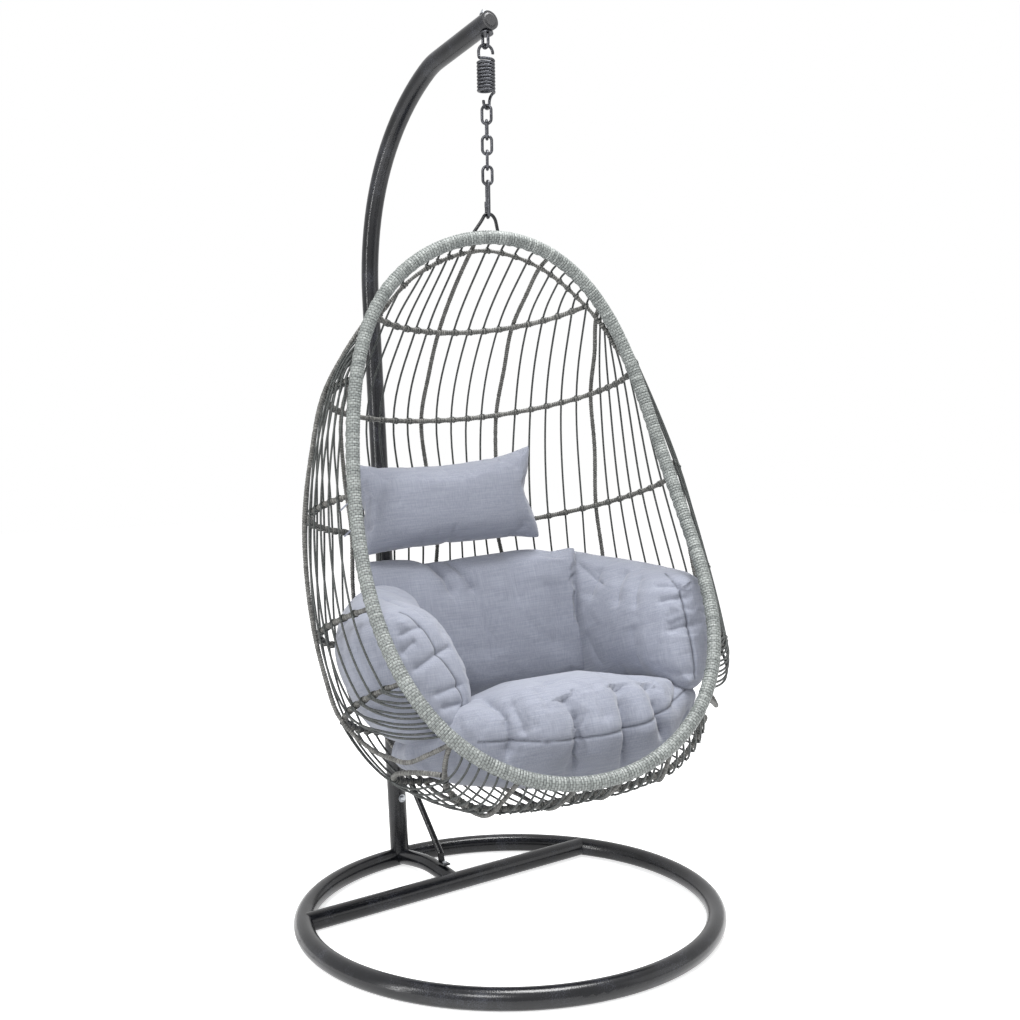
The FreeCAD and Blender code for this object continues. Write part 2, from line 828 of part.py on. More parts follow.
# Points of a hoop from its left end round the back to its right end
def hoop_points(name):
    height, tilt, middle, half_width, depth, end_depth = hoop_ovals[name]
    last = math.acos(power((middle - end_depth) / depth, hoop_power / 2))
    points = []
    for index in range(hoop_spans + 1):
        angle = last * (2 * index / hoop_spans - 1)
        u = half_width * power(math.sin(angle), 2 / hoop_power)
        v = middle - depth * power(math.cos(angle), 2 / hoop_power)
        points.append(at(u, v, height + tilt * (v - middle)))
    return points


def mirrored(half):
    left = [at(-u, v, w) for u, v, w in reversed(half[1:])]
    return left + [at(u, v, w) for u, v, w in half]


# Moves a path's end back from the axis of the rod that it meets, to that rod's surface
def shortened(end, before, heading, surface, radius):
    along = (end - before).normalize()
    slant = math.sin(along.getAngle(heading))
    reach = (surface + radius * abs(math.cos(along.getAngle(heading)))) / max(slant, 0.3)
    return end - along * reach


def nearest_rim_angle(point, low, high):
    count = round((high - low) / rim_search_step)
    angles = (low + rim_search_step * index for index in range(count + 1))
    return min(angles, key=lambda angle: (rim_point(angle) - point).Length)


# Replaces both ends of a rod by points on the surface of the rim's core
def ends_on_rim(points, radius, low, high):
    fixed = list(points)
    for end, beside in ((0, 1), (-1, -2)):
        side = -1 if end == 0 else 1
        span = (low, high) if side > 0 else (-high, -low)
        angle = nearest_rim_angle(points[end], *span)
        target = rim_point(angle)
        fixed[end] = shortened(target, points[beside], rim_heading(angle), core_radius + loose, radius)
    return fixed


def make_rod_paths():
    paths = {}
    crown = [rim_point(-crown_end_angle)] + mirrored(crown_half) + [rim_point(crown_end_angle)]
    paths["crown_loop"] = smooth_path(ends_on_rim(crown, crown_radius, *crown_span))
    bottom = [rim_point(-bottom_end_angle)] + mirrored(bottom_half) + [rim_point(bottom_end_angle)]
    paths["bottom_hoop"] = smooth_path(ends_on_rim(bottom, hoop_radius, *bottom_span))
    for name in hoop_ovals:
        if name not in held_hoops:
            paths[name] = smooth_path(ends_on_rim(hoop_points(name), hoop_radius, *hoop_span))
    for name, holder in held_hoops.items():
        paths[name] = smooth_path(ends_on_rod(hoop_points(name), paths[holder],
                                              rod_radius.get(holder, hoop_radius)))
    return paths


# Moves both ends of a hoop to the surface of the rod that holds it
def ends_on_rod(points, holder, holder_radius):
    low, high = held_shares
    for end, beside, side in ((0, 1, -1), (-1, -2, 1)):
        places = [along_path(holder, side * (low + (high - low) * step / held_steps))
                  for step in range(held_steps + 1)]
        target, heading = min(places, key=lambda place: (place[0] - points[end]).Length)
        points[end] = shortened(target, points[beside], heading, holder_radius + metal_gap, hoop_radius)
    return points


# Where a line crosses a rod: on the outer side, at the two radii and a gap from its axis
def outside(centre, heading, before, after, clear):
    chord = (after - before).normalize()
    normal = heading.cross(chord).normalize()
    if normal.dot(centre - at(*basket_middle)) < 0:
        normal = normal * -1
    return centre + normal * clear


def line_route(number, paths, returning=False):
    names = [name for name in crossings if number in crossed_by[name]]
    radius = rib_radius if number in ribs.values() else strand_radius
    side = 1 if number > middle_line else -1
    shift = side * return_share if returning else 0.0
    places = [along_path(paths[name], spread(crossings[name], number) - shift) for name in names]
    from_middle = abs(number - middle_line)
    top_angle = nearest_rim_angle(places[0][0], *((0, top_span) if side > 0 else (-top_span, 0)))
    if names[0] == "crown_loop" and from_middle < middle_lines:
        top_angle = nearest_rim_angle(places[0][0], -crown_middle_span, crown_middle_span)
    elif names[0] != "crown_loop":
        top_angle = side * (outer_top_angle - outer_top_step * (middle_line - from_middle))
    beyond = []
    if number in side_ribs:
        top_angle = side * side_rib_top
        end_angle = side * rib_end_angle
        beyond = [at(side * u, v, w) for u, v, w in side_rib_bends]
    elif names[-1] == "bottom_hoop":
        end_angle = 180.0 - front_end_step * (number - middle_line)
    else:
        end_angle = side * (side_end_angle + side_end_step * (middle_line - from_middle))
    if returning:
        end_angle += side * return_angle
    centres = [rim_point(top_angle)] + [place[0] for place in places] + beyond + [rim_point(end_angle)]
    points = [centres[0]]
    for index, name in enumerate(names):
        clear = rod_radius.get(name, hoop_radius) + radius + crossing_gap
        points.append(outside(places[index][0], places[index][1], centres[index],
                              centres[index + 2], clear))
    points += beyond
    if names[-1] == "hoop_5" and not beyond:
        start, end = points[-1], centres[-1]
        middle = (start + end) * 0.5
        away = middle - at(*basket_middle)
        away = away - (end - start) * (away.dot(end - start) / (end - start).dot(end - start))
        points.append(middle + away.normalize() * (side_sag * (end - start).Length))
        names = names + ["sag"]
    points.append(centres[-1])
    headings = slack_directions(points)
    for end, away, angle in ((0, headings[0], top_angle), (-1, headings[-1] * -1, end_angle)):
        points[end] = shortened(points[end], points[end] + away, rim_heading(angle),
                                core_radius + loose, radius)
    return names, points


# Adds a point to the middle of each long run, a little outside it, which keeps a rib's bows flat
def with_middles(points):
    fuller = points[:1]
    for start, end in zip(points, points[1:]):
        run = end - start
        if run.Length > rib_run:
            middle = (start + end) * 0.5
            away = middle - at(*basket_middle)
            away = (away - run * (away.dot(run) / run.dot(run))).normalize()
            fuller.append(middle + away * (rib_bow * run.Length))
        fuller.append(end)
    return fuller


# The stretches of one strand, each with the name of its band
def strand_stretches(number, paths, returning=False):
    names, points = line_route(number, paths, returning)
    headings = slack_directions(points)
    last_band = "strands_sides" if names[-1] == "sag" else "strands_front"
    for index, band in enumerate([band_names[name] for name in names] + [last_band]):
        stretch = biarc(points[index], headings[index], points[index + 1], headings[index + 1])
        yield band, sweep(stretch, strand_radius)


def strand_bands(paths):
    bands = {}
    for number in set(range(line_count)) - set(ribs.values()):
        for band, stretch in strand_stretches(number, paths):
            bands.setdefault(band, []).append(stretch)
    for number in [*range(side_ribs[0]), *range(side_ribs[1] + 1, line_count)]:
        for band, stretch in strand_stretches(number, paths, True):
            if band == "strands_sides":
                bands[band].append(stretch)
    return bands


# The closed rim is swept in two halves that meet at its top and bottom
def rim_tube(radius, bore):
    edges = smooth_path([rim_point(-180 + rim_step * index) for index in range(360 // rim_step)], True)
    half = len(edges) // 2
    return pipe(edges[:half], radius, bore).fuse(pipe(edges[half:], radius, bore))


def hanging_loop():
    apex = loop_apex()
    feet = [rim_point(-loop_foot_angle), rim_point(loop_foot_angle)]
    start, end = [foot + up_axis * (core_radius + loose) for foot in feet]
    across = (end - start).normalize()
    top = vec(0, 0, apex)
    shoulder = top - up_axis * loop_bend
    leg = [start, shoulder - across * loop_bend, top, shoulder + across * loop_bend, end]
    left_tangent = (leg[1] - leg[0]).normalize()
    edges = [Part.LineSegment(leg[0], leg[1]).toShape()]
    edges += biarc(leg[1], left_tangent, leg[2], across)
    edges += biarc(leg[2], across, leg[3], (leg[4] - leg[3]).normalize())
    edges.append(Part.LineSegment(leg[3], leg[4]).toShape())
    return sweep(edges, loop_wire)


# Cushions: lofts through closed outlines of four arcs, all in the basket's own axes

def unit(direction):
    size = math.sqrt(sum(part * part for part in direction))
    return tuple(part / size for part in direction)


def cross(first, second):
    return (first[1] * second[2] - first[2] * second[1], first[2] * second[0] - first[0] * second[2],
            first[0] * second[1] - first[1] * second[0])


# An outline about a middle point, with half sizes along two directions
def cushion_outline(middle, tall, thick, half_tall, half_thick, shares):
    def spot(along, out):
        return at(*[middle[k] + tall[k] * along + thick[k] * out for k in range(3)])

    seam = half_thick * shares[0]
    corner = half_tall * shares[1]
    corners = [spot(corner, seam), spot(-corner, seam), spot(-corner, -seam), spot(corner, -seam)]
    middles = [spot(0, half_thick), spot(-half_tall, 0), spot(0, -half_thick), spot(half_tall, 0)]
    arcs = [Part.Arc(corners[k], middles[k], corners[(k + 1) % 4]).toShape() for k in range(4)]
    return Part.Wire(arcs)


def cushion(stations, shares=(seam_share, corner_share)):
    outlines = [cushion_outline(middle, unit(tall), unit(thick), half_tall, half_thick, shares)
                for middle, tall, thick, half_tall, half_thick in stations]
    return Part.makeLoft(outlines, True, False)


# Long pillow across the back: ends drawn in to a seam, corners standing out a little
def head_pillow():
    stations = []
    for place, tall, thick in pillow_profile:
        middle = (pillow_middle[0] + pillow_half_length * place,
                  pillow_middle[1] + pillow_bow * place * place, pillow_middle[2])
        stations.append((middle, (0.0, pillow_lean, 1.0), (0.0, 1.0, -pillow_lean), tall, thick))
    return cushion(stations)


def back_cushion():
    stations = []
    for place, tall, thick in back_profile:
        middle = (back_middle[0] + back_half_length * place, back_middle[1] + back_bow * place * place,
                  back_middle[2])
        stations.append((middle, (0.0, back_lean, 1.0), (0.0, 1.0, -back_lean), tall, thick))
    return cushion(stations)


# A bolster along the side wall, from beside the back cushion to the rim
def arm_bolster(side):
    along = arm_starts + arm_runs[side]
    middles = [station[0] for station in along]
    stations = []
    for index, (middle, lean, tall, thick) in enumerate(along):
        ahead = middles[min(index + 1, len(middles) - 1)]
        back = middles[max(index - 1, 0)]
        heading = unit((ahead[0] - back[0], ahead[1] - back[1], 0.0))
        upward = unit((lean, 0.0, 1.0))
        outward = unit(cross(upward, heading))
        upward = cross(heading, outward)
        stations.append(((middle[0] * side, middle[1], middle[2]),
                         (upward[0] * side, upward[1], upward[2]),
                         (outward[0] * side, outward[1], outward[2]), tall, thick))
    return cushion(stations)


# The pad that fills the bowl, thick at its front roll
def seat_cushion():
    stations = []
    for across, ahead, height, tall, thick in seat_stations:
        stations.append(((across, ahead, height), (0.0, 1.0, seat_rise), (0.0, -seat_rise, 1.0),
                         tall, thick))
    return cushion(stations, (seat_seam_share, seat_corner_share))


# Two flat ties from the pillow's left end, round the strands
def pillow_ties():
    ties = [rod(at(*tie_start) - basket_up * drop, at(*tie_end) - basket_up * drop, tie_radius)
            for drop in tie_drops]
    return Part.makeCompound(ties)


os.makedirs("parts", exist_ok=True)

save("base_ring", base_ring())
save("crossbar", crossbar())
save("spur", spur())
save("post_socket", post_socket())
save("pole", pole())
save("pole_end_cap", pole_end_cap())
save("post_bolt", post_bolt())
save("post_washer", post_washer())
save("post_nut", post_nut())
save("brace_rod", brace_rod())
save("brace_bolts", brace_bolts())
save("hanger_eye", hanger_eye())
save("hanger_washer", hanger_washer())
save("hanger_nut", hanger_nut())
save("tension_spring", tension_spring())
for link_number in range(len(link_turns)):
    save("chain_link_%d" % (link_number + 1), chain_link(link_number))
save("snap_hook_body", snap_hook_body())
save("snap_hook_gate", snap_hook_gate())
save("gate_pin", gate_pin())
save("gate_sleeve", gate_sleeve())
save("hanging_loop", hanging_loop())
save("rim_core", rim_tube(core_radius, core_radius - tube_wall))
save("rim_wrap", rim_tube(wrap_radius, core_radius + wrap_gap))

rod_paths = make_rod_paths()
for rod_name, rod_edges in rod_paths.items():
    save(rod_name, sweep(rod_edges, rod_radius.get(rod_name, hoop_radius)))
for rib_name, rib_line in ribs.items():
    rib_stops, rib_points = line_route(rib_line, rod_paths)
    save(rib_name, sweep(smooth_path(with_middles(rib_points)), rib_radius))
for band_name, band in strand_bands(rod_paths).items():
    save(band_name, Part.makeCompound(band))

# Each cushion presses into the next: the arms are cut by the back pad, the seat by all three
back_pad = back_cushion()
left_arm = arm_bolster(-1).cut(back_pad)
right_arm = arm_bolster(1).cut(back_pad)
save("head_pillow", head_pillow())
save("back_cushion", back_pad)
save("arm_bolster_left", left_arm)
save("arm_bolster_right", right_arm)
save("seat_cushion", seat_cushion().cut(back_pad).cut(left_arm).cut(right_arm))
save("pillow_ties", pillow_ties())
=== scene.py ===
import math
import bmesh
import bpy
import numpy as np
from mathutils import Matrix, Vector


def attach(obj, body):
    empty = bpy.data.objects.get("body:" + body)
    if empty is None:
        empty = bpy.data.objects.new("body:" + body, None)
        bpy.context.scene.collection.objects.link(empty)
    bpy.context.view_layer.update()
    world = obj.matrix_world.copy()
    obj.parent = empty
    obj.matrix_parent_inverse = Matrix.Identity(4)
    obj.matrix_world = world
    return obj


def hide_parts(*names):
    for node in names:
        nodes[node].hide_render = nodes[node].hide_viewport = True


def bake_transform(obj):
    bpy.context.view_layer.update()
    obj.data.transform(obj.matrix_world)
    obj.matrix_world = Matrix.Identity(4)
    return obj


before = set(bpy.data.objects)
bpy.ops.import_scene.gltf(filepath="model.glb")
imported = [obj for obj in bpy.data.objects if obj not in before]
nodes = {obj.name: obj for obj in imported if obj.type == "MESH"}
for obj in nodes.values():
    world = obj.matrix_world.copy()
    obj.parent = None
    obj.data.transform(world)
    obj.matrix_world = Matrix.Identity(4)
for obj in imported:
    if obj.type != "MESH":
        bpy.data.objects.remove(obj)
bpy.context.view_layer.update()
print("frame loaded,", len(nodes), "solids")

# Small helpers

def newObject(name, data):
    made = bpy.data.objects.new(name, data)
    bpy.context.scene.collection.objects.link(made)
    return made


def hexColour(text):
    # sRGB hex to linear light
    values = [int(text[k:k + 2], 16) / 255 for k in (1, 3, 5)]
    return [v / 12.92 if v <= 0.04045 else ((v + 0.055) / 1.055) ** 2.4 for v in values] + [1.0]


def addNode(material, kind, inputs=None, stops=(), **settings):
    # inputs are values or links; stops are a colour ramp's places and colours, from low to high
    made = material.node_tree.nodes.new(kind)
    for name, value in settings.items():
        setattr(made, name, value)
    for name, value in (inputs or {}).items():
        socket = made.inputs[name]
        if isinstance(value, bpy.types.NodeSocket):
            material.node_tree.links.new(value, socket)
        else:
            socket.default_value = value
    for k, (place, colour) in enumerate(stops):
        elements = made.color_ramp.elements
        element = elements[k] if k < len(elements) else elements.new(place)
        element.position = place
        element.color = hexColour(colour)
    return made


def newMaterial(name, **surface):
    material = bpy.data.materials.new(name)
    material.use_nodes = True
    shader = material.node_tree.nodes["Principled BSDF"]
    for socket, value in surface.items():
        shader.inputs[socket.replace("_", " ")].default_value = value
    return material


def finished(material, colour, bump=None):
    # the colour and the relief go to the shader, which makes the finish ready
    shader = material.node_tree.nodes["Principled BSDF"]
    material.node_tree.links.new(colour, shader.inputs["Base Color"])
    if bump:
        material.node_tree.links.new(bump.outputs["Normal"], shader.inputs["Normal"])
    return material


def unit(arrows):
    return arrows / np.linalg.norm(arrows, axis=-1, keepdims=True)


# Joins grids of points into one mesh: quads between rows and columns, flat lids on open ends
def meshFromGrids(name, grids):
    points, corners, sizes, uvs, base = [], [], [], [], 0
    for grid, rowMarks, columnMarks, ring in grids:
        rows, columns = grid.shape[:2]
        i, j = np.meshgrid(np.arange(rows if ring else rows - 1), np.arange(columns), indexing="ij")
        nextRow, nextColumn = (i + 1) % rows, (j + 1) % columns
        quads = np.stack([i * columns + j, i * columns + nextColumn,
                          nextRow * columns + nextColumn, nextRow * columns + j], -1)
        marks = np.stack([np.stack([rowMarks[i + a], columnMarks[j + b]], -1)
                          for a, b in ((0, 0), (0, 1), (1, 1), (1, 0))], -2)
        points.append(grid.reshape(-1, 3))
        corners.append(quads.reshape(-1) + base)
        sizes.append(np.full(quads[..., 0].size, 4))
        uvs.append(marks.reshape(-1, 2))
        if not ring:
            for lid, mark in ((np.arange(columns)[::-1], rowMarks[0]),
                              (np.arange(columns) + (rows - 1) * columns, rowMarks[rows - 1])):
                corners.append(lid + base)
                sizes.append(np.array([columns]))
                uvs.append(np.stack([np.full(columns, mark), np.zeros(columns)], -1))
        base += rows * columns
    points, corners = np.concatenate(points), np.concatenate(corners)
    sizes, uvs = np.concatenate(sizes), np.concatenate(uvs)
    mesh = bpy.data.meshes.new(name)
    mesh.vertices.add(len(points))
    mesh.vertices.foreach_set("co", points.astype(np.float32).ravel())
    mesh.loops.add(len(corners))
    mesh.loops.foreach_set("vertex_index", corners.astype(np.int32))
    mesh.polygons.add(len(sizes))
    mesh.polygons.foreach_set("loop_start", (np.cumsum(sizes) - sizes).astype(np.int32))
    mesh.update(calc_edges=True)
    mesh.uv_layers.new(name="wrap").data.foreach_set("uv", uvs.astype(np.float32).ravel())
    mesh.shade_smooth()
    mesh.validate()
    return mesh


def pointsOf(mesh):
    flat = np.empty(len(mesh.vertices) * 3, np.float32)
    mesh.vertices.foreach_get("co", flat)
    return flat.reshape(-1, 3)


def addPiece(name, grids, body, material, stands=()):
    mesh = meshFromGrids(name, grids)
    mesh.materials.append(material)
    piece = newObject(name, mesh)
    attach(piece, body)
    if stands:
        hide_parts(*stands)


# The camera stands where the photograph was taken from: metres, degrees, and millimetres for lens and sensor
cameraView = {"place": (-1.6527, -2.1839, 1.0525), "turn": -37.93, "down": 3.06, "roll": -0.81, "lens": 43.67,
              "sensor": 36}


def placeCamera(view):
    # the view's direction from its turn and its dip; its own right and up are level, then rolled
    turn, down, roll = (math.radians(view[key]) for key in ("turn", "down", "roll"))
    ahead = Vector((-math.sin(turn) * math.cos(down), math.cos(turn) * math.cos(down), -math.sin(down)))
    level = Vector((math.cos(turn), math.sin(turn), 0))
    upright = level.cross(ahead)
    right = level * math.cos(roll) + upright * math.sin(roll)
    upward = upright * math.cos(roll) - level * math.sin(roll)
    lens = bpy.data.cameras.new("photoView")
    lens.lens = view["lens"]
    lens.sensor_width = view["sensor"]
    holder = newObject("photoView", lens)
    turned = Matrix((right, upward, -ahead)).transposed().to_4x4()
    holder.matrix_world = Matrix.Translation(view["place"]) @ turned
    bpy.context.scene.camera = holder


placeCamera(cameraView)


# The basket, in millimetres and degrees. Its own axes are u to its right, v forward and w up, from the top of
# its rim, which stands at top. core, wrap, hoop, crown, rib and strand are radii; loose and crossing are the
# gaps at a rod's end and where a line crosses a rod; power makes the hoops' superellipse
basket = {
    "top": (-4.2, 3.5, 1505.1), "yaw": -18.1, "tilt": 17.61, "roll": 4.41, "height": 1186.6,
    "rimWidth": (394.5, -12.1, 24.5, 5.2), "rimDepth": (-33.0, -31.1, 49.5, 12.3, -3.0, 2.5, 2.8),
    "middle": (0.0, -190.0, -650.0), "core": 12.0, "wrap": 14.5, "hoop": 5.5, "crown": 4.2,
    "rib": 4.8, "strand": 2.4, "power": 1.93, "loose": 0.3, "crossing": 0.8,
}


def basketAxes(b):
    # u, v and w in the part's frame: turned about the upright, tilted back, then rolled about v
    yaw, tilt, roll = (math.radians(b[key]) for key in ("yaw", "tilt", "roll"))
    level = np.array([math.cos(yaw), math.sin(yaw), 0])
    ahead = np.array([math.sin(yaw), -math.cos(yaw), 0])
    raised = np.array([0, 0, 1]) * math.cos(tilt) - ahead * math.sin(tilt)
    forward = ahead * math.cos(tilt) + np.array([0, 0, 1]) * math.sin(tilt)
    return np.stack([level * math.cos(roll) + raised * math.sin(roll), forward,
                     raised * math.cos(roll) - level * math.sin(roll)])


axes = basketAxes(basket)


def toWorld(spots):
    # basket millimetres to metres in the part's frame
    return (np.asarray(spots, float) @ axes + np.array(basket["top"])) / 1000


def rimSpot(angle):
    # width: a sum of sines of the angle from the top; depth: a sum of cosines; height: a plain cosine
    turn = np.radians(np.asarray(angle, float))[..., None]
    width = (np.array(basket["rimWidth"]) * np.sin(turn * np.arange(1, 5))).sum(-1)
    depth = (np.array(basket["rimDepth"]) * np.cos(turn * np.arange(0, 7))).sum(-1)
    return np.stack([width, depth, -basket["height"] / 2 * (1 - np.cos(turn[..., 0]))], -1)


def mirrorEnds(arrows, stops):
    # each end's arrow is its neighbour's, mirrored in the chord between them
    for end, beside in ((0, 1), (-1, -2)):
        chord = unit(stops[end] - stops[beside])
        arrows[end] = chord * 2 * (arrows[beside] @ chord) - arrows[beside]
    return arrows


def headings(stops):
    # at each stop, the tangent of the circle through it and its two neighbours
    back = stops - np.roll(stops, 1, 0)
    ahead = np.roll(stops, -1, 0) - stops
    found = unit(back / (back ** 2).sum(-1, keepdims=True) + ahead / (ahead ** 2).sum(-1, keepdims=True))
    return mirrorEnds(found, stops)


def slackHeadings(stops):
    # along the line from each stop's neighbour to the next, which keeps long runs the straightest
    found = unit(np.vstack([stops[1] - stops[0], stops[2:] - stops[:-2], stops[-1] - stops[-2]]))
    return mirrorEnds(found, stops)


def runThrough(stops, perSpan=14, arrows=None):
    # cubic runs between the stops, whose end arrows are as long as the chord
    stops = np.asarray(stops, float)
    arrows = headings(stops) if arrows is None else arrows
    t = (np.arange(perSpan) / perSpan)[None, :, None]
    start, end = stops[:-1, None], stops[1:, None]
    size = np.linalg.norm(end - start, axis=-1, keepdims=True)
    run = ((2 * t ** 3 - 3 * t ** 2 + 1) * start + (t ** 3 - 2 * t ** 2 + t) * size * arrows[:-1, None]
           + (3 * t ** 2 - 2 * t ** 3) * end + (t ** 3 - t ** 2) * size * arrows[1:, None]).reshape(-1, 3)
    return np.vstack([run, stops[-1:]])


def distances(run, ring=False):
    # how far along the run each of its points lies, and on a ring the way back to the first as well
    path = np.vstack([run, run[:1]]) if ring else run
    return np.concatenate([[0], np.cumsum(np.linalg.norm(np.diff(path, axis=0), axis=1))])


def between(spots, places, table):
    # the table's rows at the given spots, straight between its own places
    return np.stack([np.interp(spots, places, column) for column in table.T], -1)


def placeAlong(run, share):
    # the point and heading at a share of the run's half length from its middle
    travelled = distances(run)
    target = travelled[-1] * (share + 1) / 2
    return between(target, travelled, run), unit(between(target, travelled, unit(np.gradient(run, axis=0))))


angleStep = 0.1  # degrees between the places on the rim that are tried
headingStep = 0.5  # degrees to each side of a place, for the rim's heading there
leastSine = 0.3  # a rod that meets another nearly lengthwise is drawn back no further than this allows


def rimAngleNear(spot, low, high):
    # the place on the rim, tried step by step, that lies nearest to a spot
    angles = np.arange(low, high + angleStep / 2, angleStep)
    return angles[np.linalg.norm(rimSpot(angles) - spot, axis=1).argmin()]


def rimHeading(angle):
    return unit(rimSpot(angle + headingStep) - rimSpot(angle - headingStep))


def stopShort(end, beside, heading, surface, radius):
    # the end moves back along its own line until the rod's edge is at the surface of the one that it meets
    along = unit(end - beside)
    straight = abs(along @ heading)
    return end - along * (surface + radius * straight) / max(math.sqrt(max(1 - straight ** 2, 0)), leastSine)


def rounded(values, power):
    # a circle's coordinate made a superellipse's: its size to the power 2 / power, with its sign kept
    return np.sign(values) * np.abs(values) ** (2 / power)


def fromMiddleOut(start, end, share):
    # the middle of a span, moved square to it and away from the basket's middle by a share of its length
    run = end - start
    away = (start + end) / 2 - np.array(basket["middle"])
    away = unit(away - run * (away @ run) / (run @ run))
    return (start + end) / 2 + away * share * np.linalg.norm(run)


# Each hoop's height, tilt, middle, half width and depth, and the v at which it ends
hoopOvals = {
    "hoop_1": (-128.0, 0.07, -25.0, 275.0, 175.0, -86.0),
    "hoop_2": (-279.0, 0.07, -173.0, 367.0, 201.0, -84.0),
    "hoop_3": (-530.0, 0.07, -214.0, 437.0, 237.0, -95.0),
    "hoop_4": (-779.0, 0.07, -232.0, 450.0, 318.5, -53.0),
    "hoop_5": (-959.4, 0.19, -190.6, 433.3, 289.4, -17.0),
    "hoop_6": (-1098.0, 0.12, -190.0, 353.0, 236.0, -100.0),
}
# The crown loop and the bottom hoop from their middles to the right; their left halves mirror these
crownStops = ((0, -48, -9), (80, -55, -22), (150, -66, -52), (233, -84, -122), (290, -98, -195),
              (315, -102, -252))
bottomStops = ((0, -118, -1212), (130, -116, -1208), (232, -108, -1186), (279, -84, -1146), (288, -44, -1100))

hoopSpans = 12


def hoopStops(name):
    # a superellipse round the back, its height rising with depth
    height, tilt, middle, halfWidth, depth, endDepth = hoopOvals[name]
    share = (middle - endDepth) / depth
    last = math.acos(math.copysign(abs(share) ** (basket["power"] / 2), share))
    angle = last * (2 * np.arange(hoopSpans + 1) / hoopSpans - 1)
    u = halfWidth * rounded(np.sin(angle), basket["power"])
    v = middle - depth * rounded(np.cos(angle), basket["power"])
    return np.stack([u, v, height + tilt * (v - middle)], -1)


def bothSides(half):
    half = np.array(half, float)
    return np.vstack([half[:0:-1] * (-1, 1, 1), half])


def endsOnRim(stops, radius, low, high):
    # each end stops short against the rim's tube, at the nearest place between two angles from the top
    fixed = stops.copy()
    for end, beside, span in ((0, 1, (-high, -low)), (-1, -2, (low, high))):
        angle = rimAngleNear(stops[end], *span)
        fixed[end] = stopShort(rimSpot(angle), stops[beside], rimHeading(angle),
                               basket["core"] + basket["loose"], radius)
    return fixed


# Where each rod ends on the rim, in degrees from its top: about there, and the span that is searched
rimEnds = {"crown_loop": (60, 30, 90), "bottom_hoop": (141, 120, 170), "hoops": (40, 140)}
# hoops 1 and 6 end on another rod, between these shares of its half length, a little clear of it
rodEnds = {"holders": {"hoop_1": "crown_loop", "hoop_6": "bottom_hoop"}, "shares": (0.5, 0.95), "tries": 61,
           "clear": 0.1}
rodRadius = {"crown_loop": basket["crown"]}


def rodRuns():
    # the seven hoops and the crown loop; hoops 1 and 6 come last, because they end on other rods
    runs = {}
    for name, half in (("crown_loop", crownStops), ("bottom_hoop", bottomStops)):
        angle, low, high = rimEnds[name]
        stops = np.vstack([rimSpot(-angle), bothSides(half), rimSpot(angle)])
        runs[name] = runThrough(endsOnRim(stops, rodRadius.get(name, basket["hoop"]), low, high))
    for name in ("hoop_2", "hoop_3", "hoop_4", "hoop_5"):
        runs[name] = runThrough(endsOnRim(hoopStops(name), basket["hoop"], *rimEnds["hoops"]))
    near, far = rodEnds["shares"]
    for name, holder in rodEnds["holders"].items():
        stops = hoopStops(name)
        clear = rodRadius.get(holder, basket["hoop"]) + rodEnds["clear"]
        for end, beside, shares in ((0, 1, (-far, -near)), (-1, -2, (near, far))):
            places = [placeAlong(runs[holder], share) for share in np.linspace(*shares, rodEnds["tries"])]
            target, heading = min(places, key=lambda place: np.linalg.norm(place[0] - stops[end]))
            stops[end] = stopShort(target, stops[beside], heading, clear, basket["hoop"])
        runs[name] = runThrough(stops)
    return runs


runs = rodRuns()

# Lines from crown to bottom, numbered from left to right; where each crosses a rod, by the
# share of the rod's half length, and which lines cross it
ribs = {"rib_side_left": 5, "rib_left": 12, "rib_back_left": 18, "rib_back_right": 23, "rib_right": 29,
        "rib_side_right": 36}
allLines = range(42)
crossings = {
    "crown_loop": ({6: -0.9, 11: -0.64, 12: -0.59, 14: -0.288, 18: -0.036, 23: 0.342, 27: 0.576, 29: 0.72,
                    30: 0.75, 35: 0.9}, range(6, 36)),
    "hoop_1": ({11: -1.0, 12: -0.94, 18: -0.27, 23: 0.37, 28: 1.0}, range(12, 28)),
    "hoop_2": ({0: -0.985, 4: -0.9, 5: -0.862, 7: -0.803, 11: -0.64, 12: -0.594, 18: -0.182, 23: 0.166,
                24: 0.251, 28: 0.529, 29: 0.594, 30: 0.64, 34: 0.803, 36: 0.862, 37: 0.9, 41: 0.985},
               allLines),
    "hoop_3": ({0: -0.965, 4: -0.84, 5: -0.775, 6: -0.731, 11: -0.519, 12: -0.471, 18: -0.125, 23: 0.1,
                25: 0.231, 28: 0.42, 29: 0.471, 30: 0.519, 35: 0.731, 36: 0.775, 37: 0.84, 41: 0.965},
               allLines),
    "hoop_4": ({0: -0.955, 4: -0.79, 5: -0.752, 6: -0.72, 11: -0.48, 12: -0.42, 18: -0.14, 23: 0.14, 29: 0.42,
                30: 0.48, 35: 0.72, 36: 0.752, 37: 0.79, 41: 0.955}, allLines),
    "hoop_5": ({0: -0.956, 4: -0.79, 5: -0.735, 6: -0.69, 12: -0.42, 18: -0.15, 23: 0.15, 29: 0.42, 35: 0.69,
                36: 0.735, 37: 0.79, 41: 0.956}, allLines),
    "hoop_6": ({6: -0.7, 35: 0.7}, range(6, 36)),
    "bottom_hoop": ({6: -0.78, 35: 0.78}, range(6, 36)),
}
# Where the lines end on the rim, in degrees from its top; a step is per line away from the middle one
lineEnds = {"middle": 20.5, "top": 53.5, "topStep": 2.0, "topSearch": (0, 66), "midSearch": (-30, 30),
            "midLines": 3, "side": 126.5, "sideStep": 2.9, "front": 180.0, "frontStep": 2.45,
            "returnAngle": 1.4, "returnShare": 0.011, "ribTop": 41.5, "ribFoot": 141.5,
            "ribBends": ((392, -185, -1040), (350, -85, -1080))}
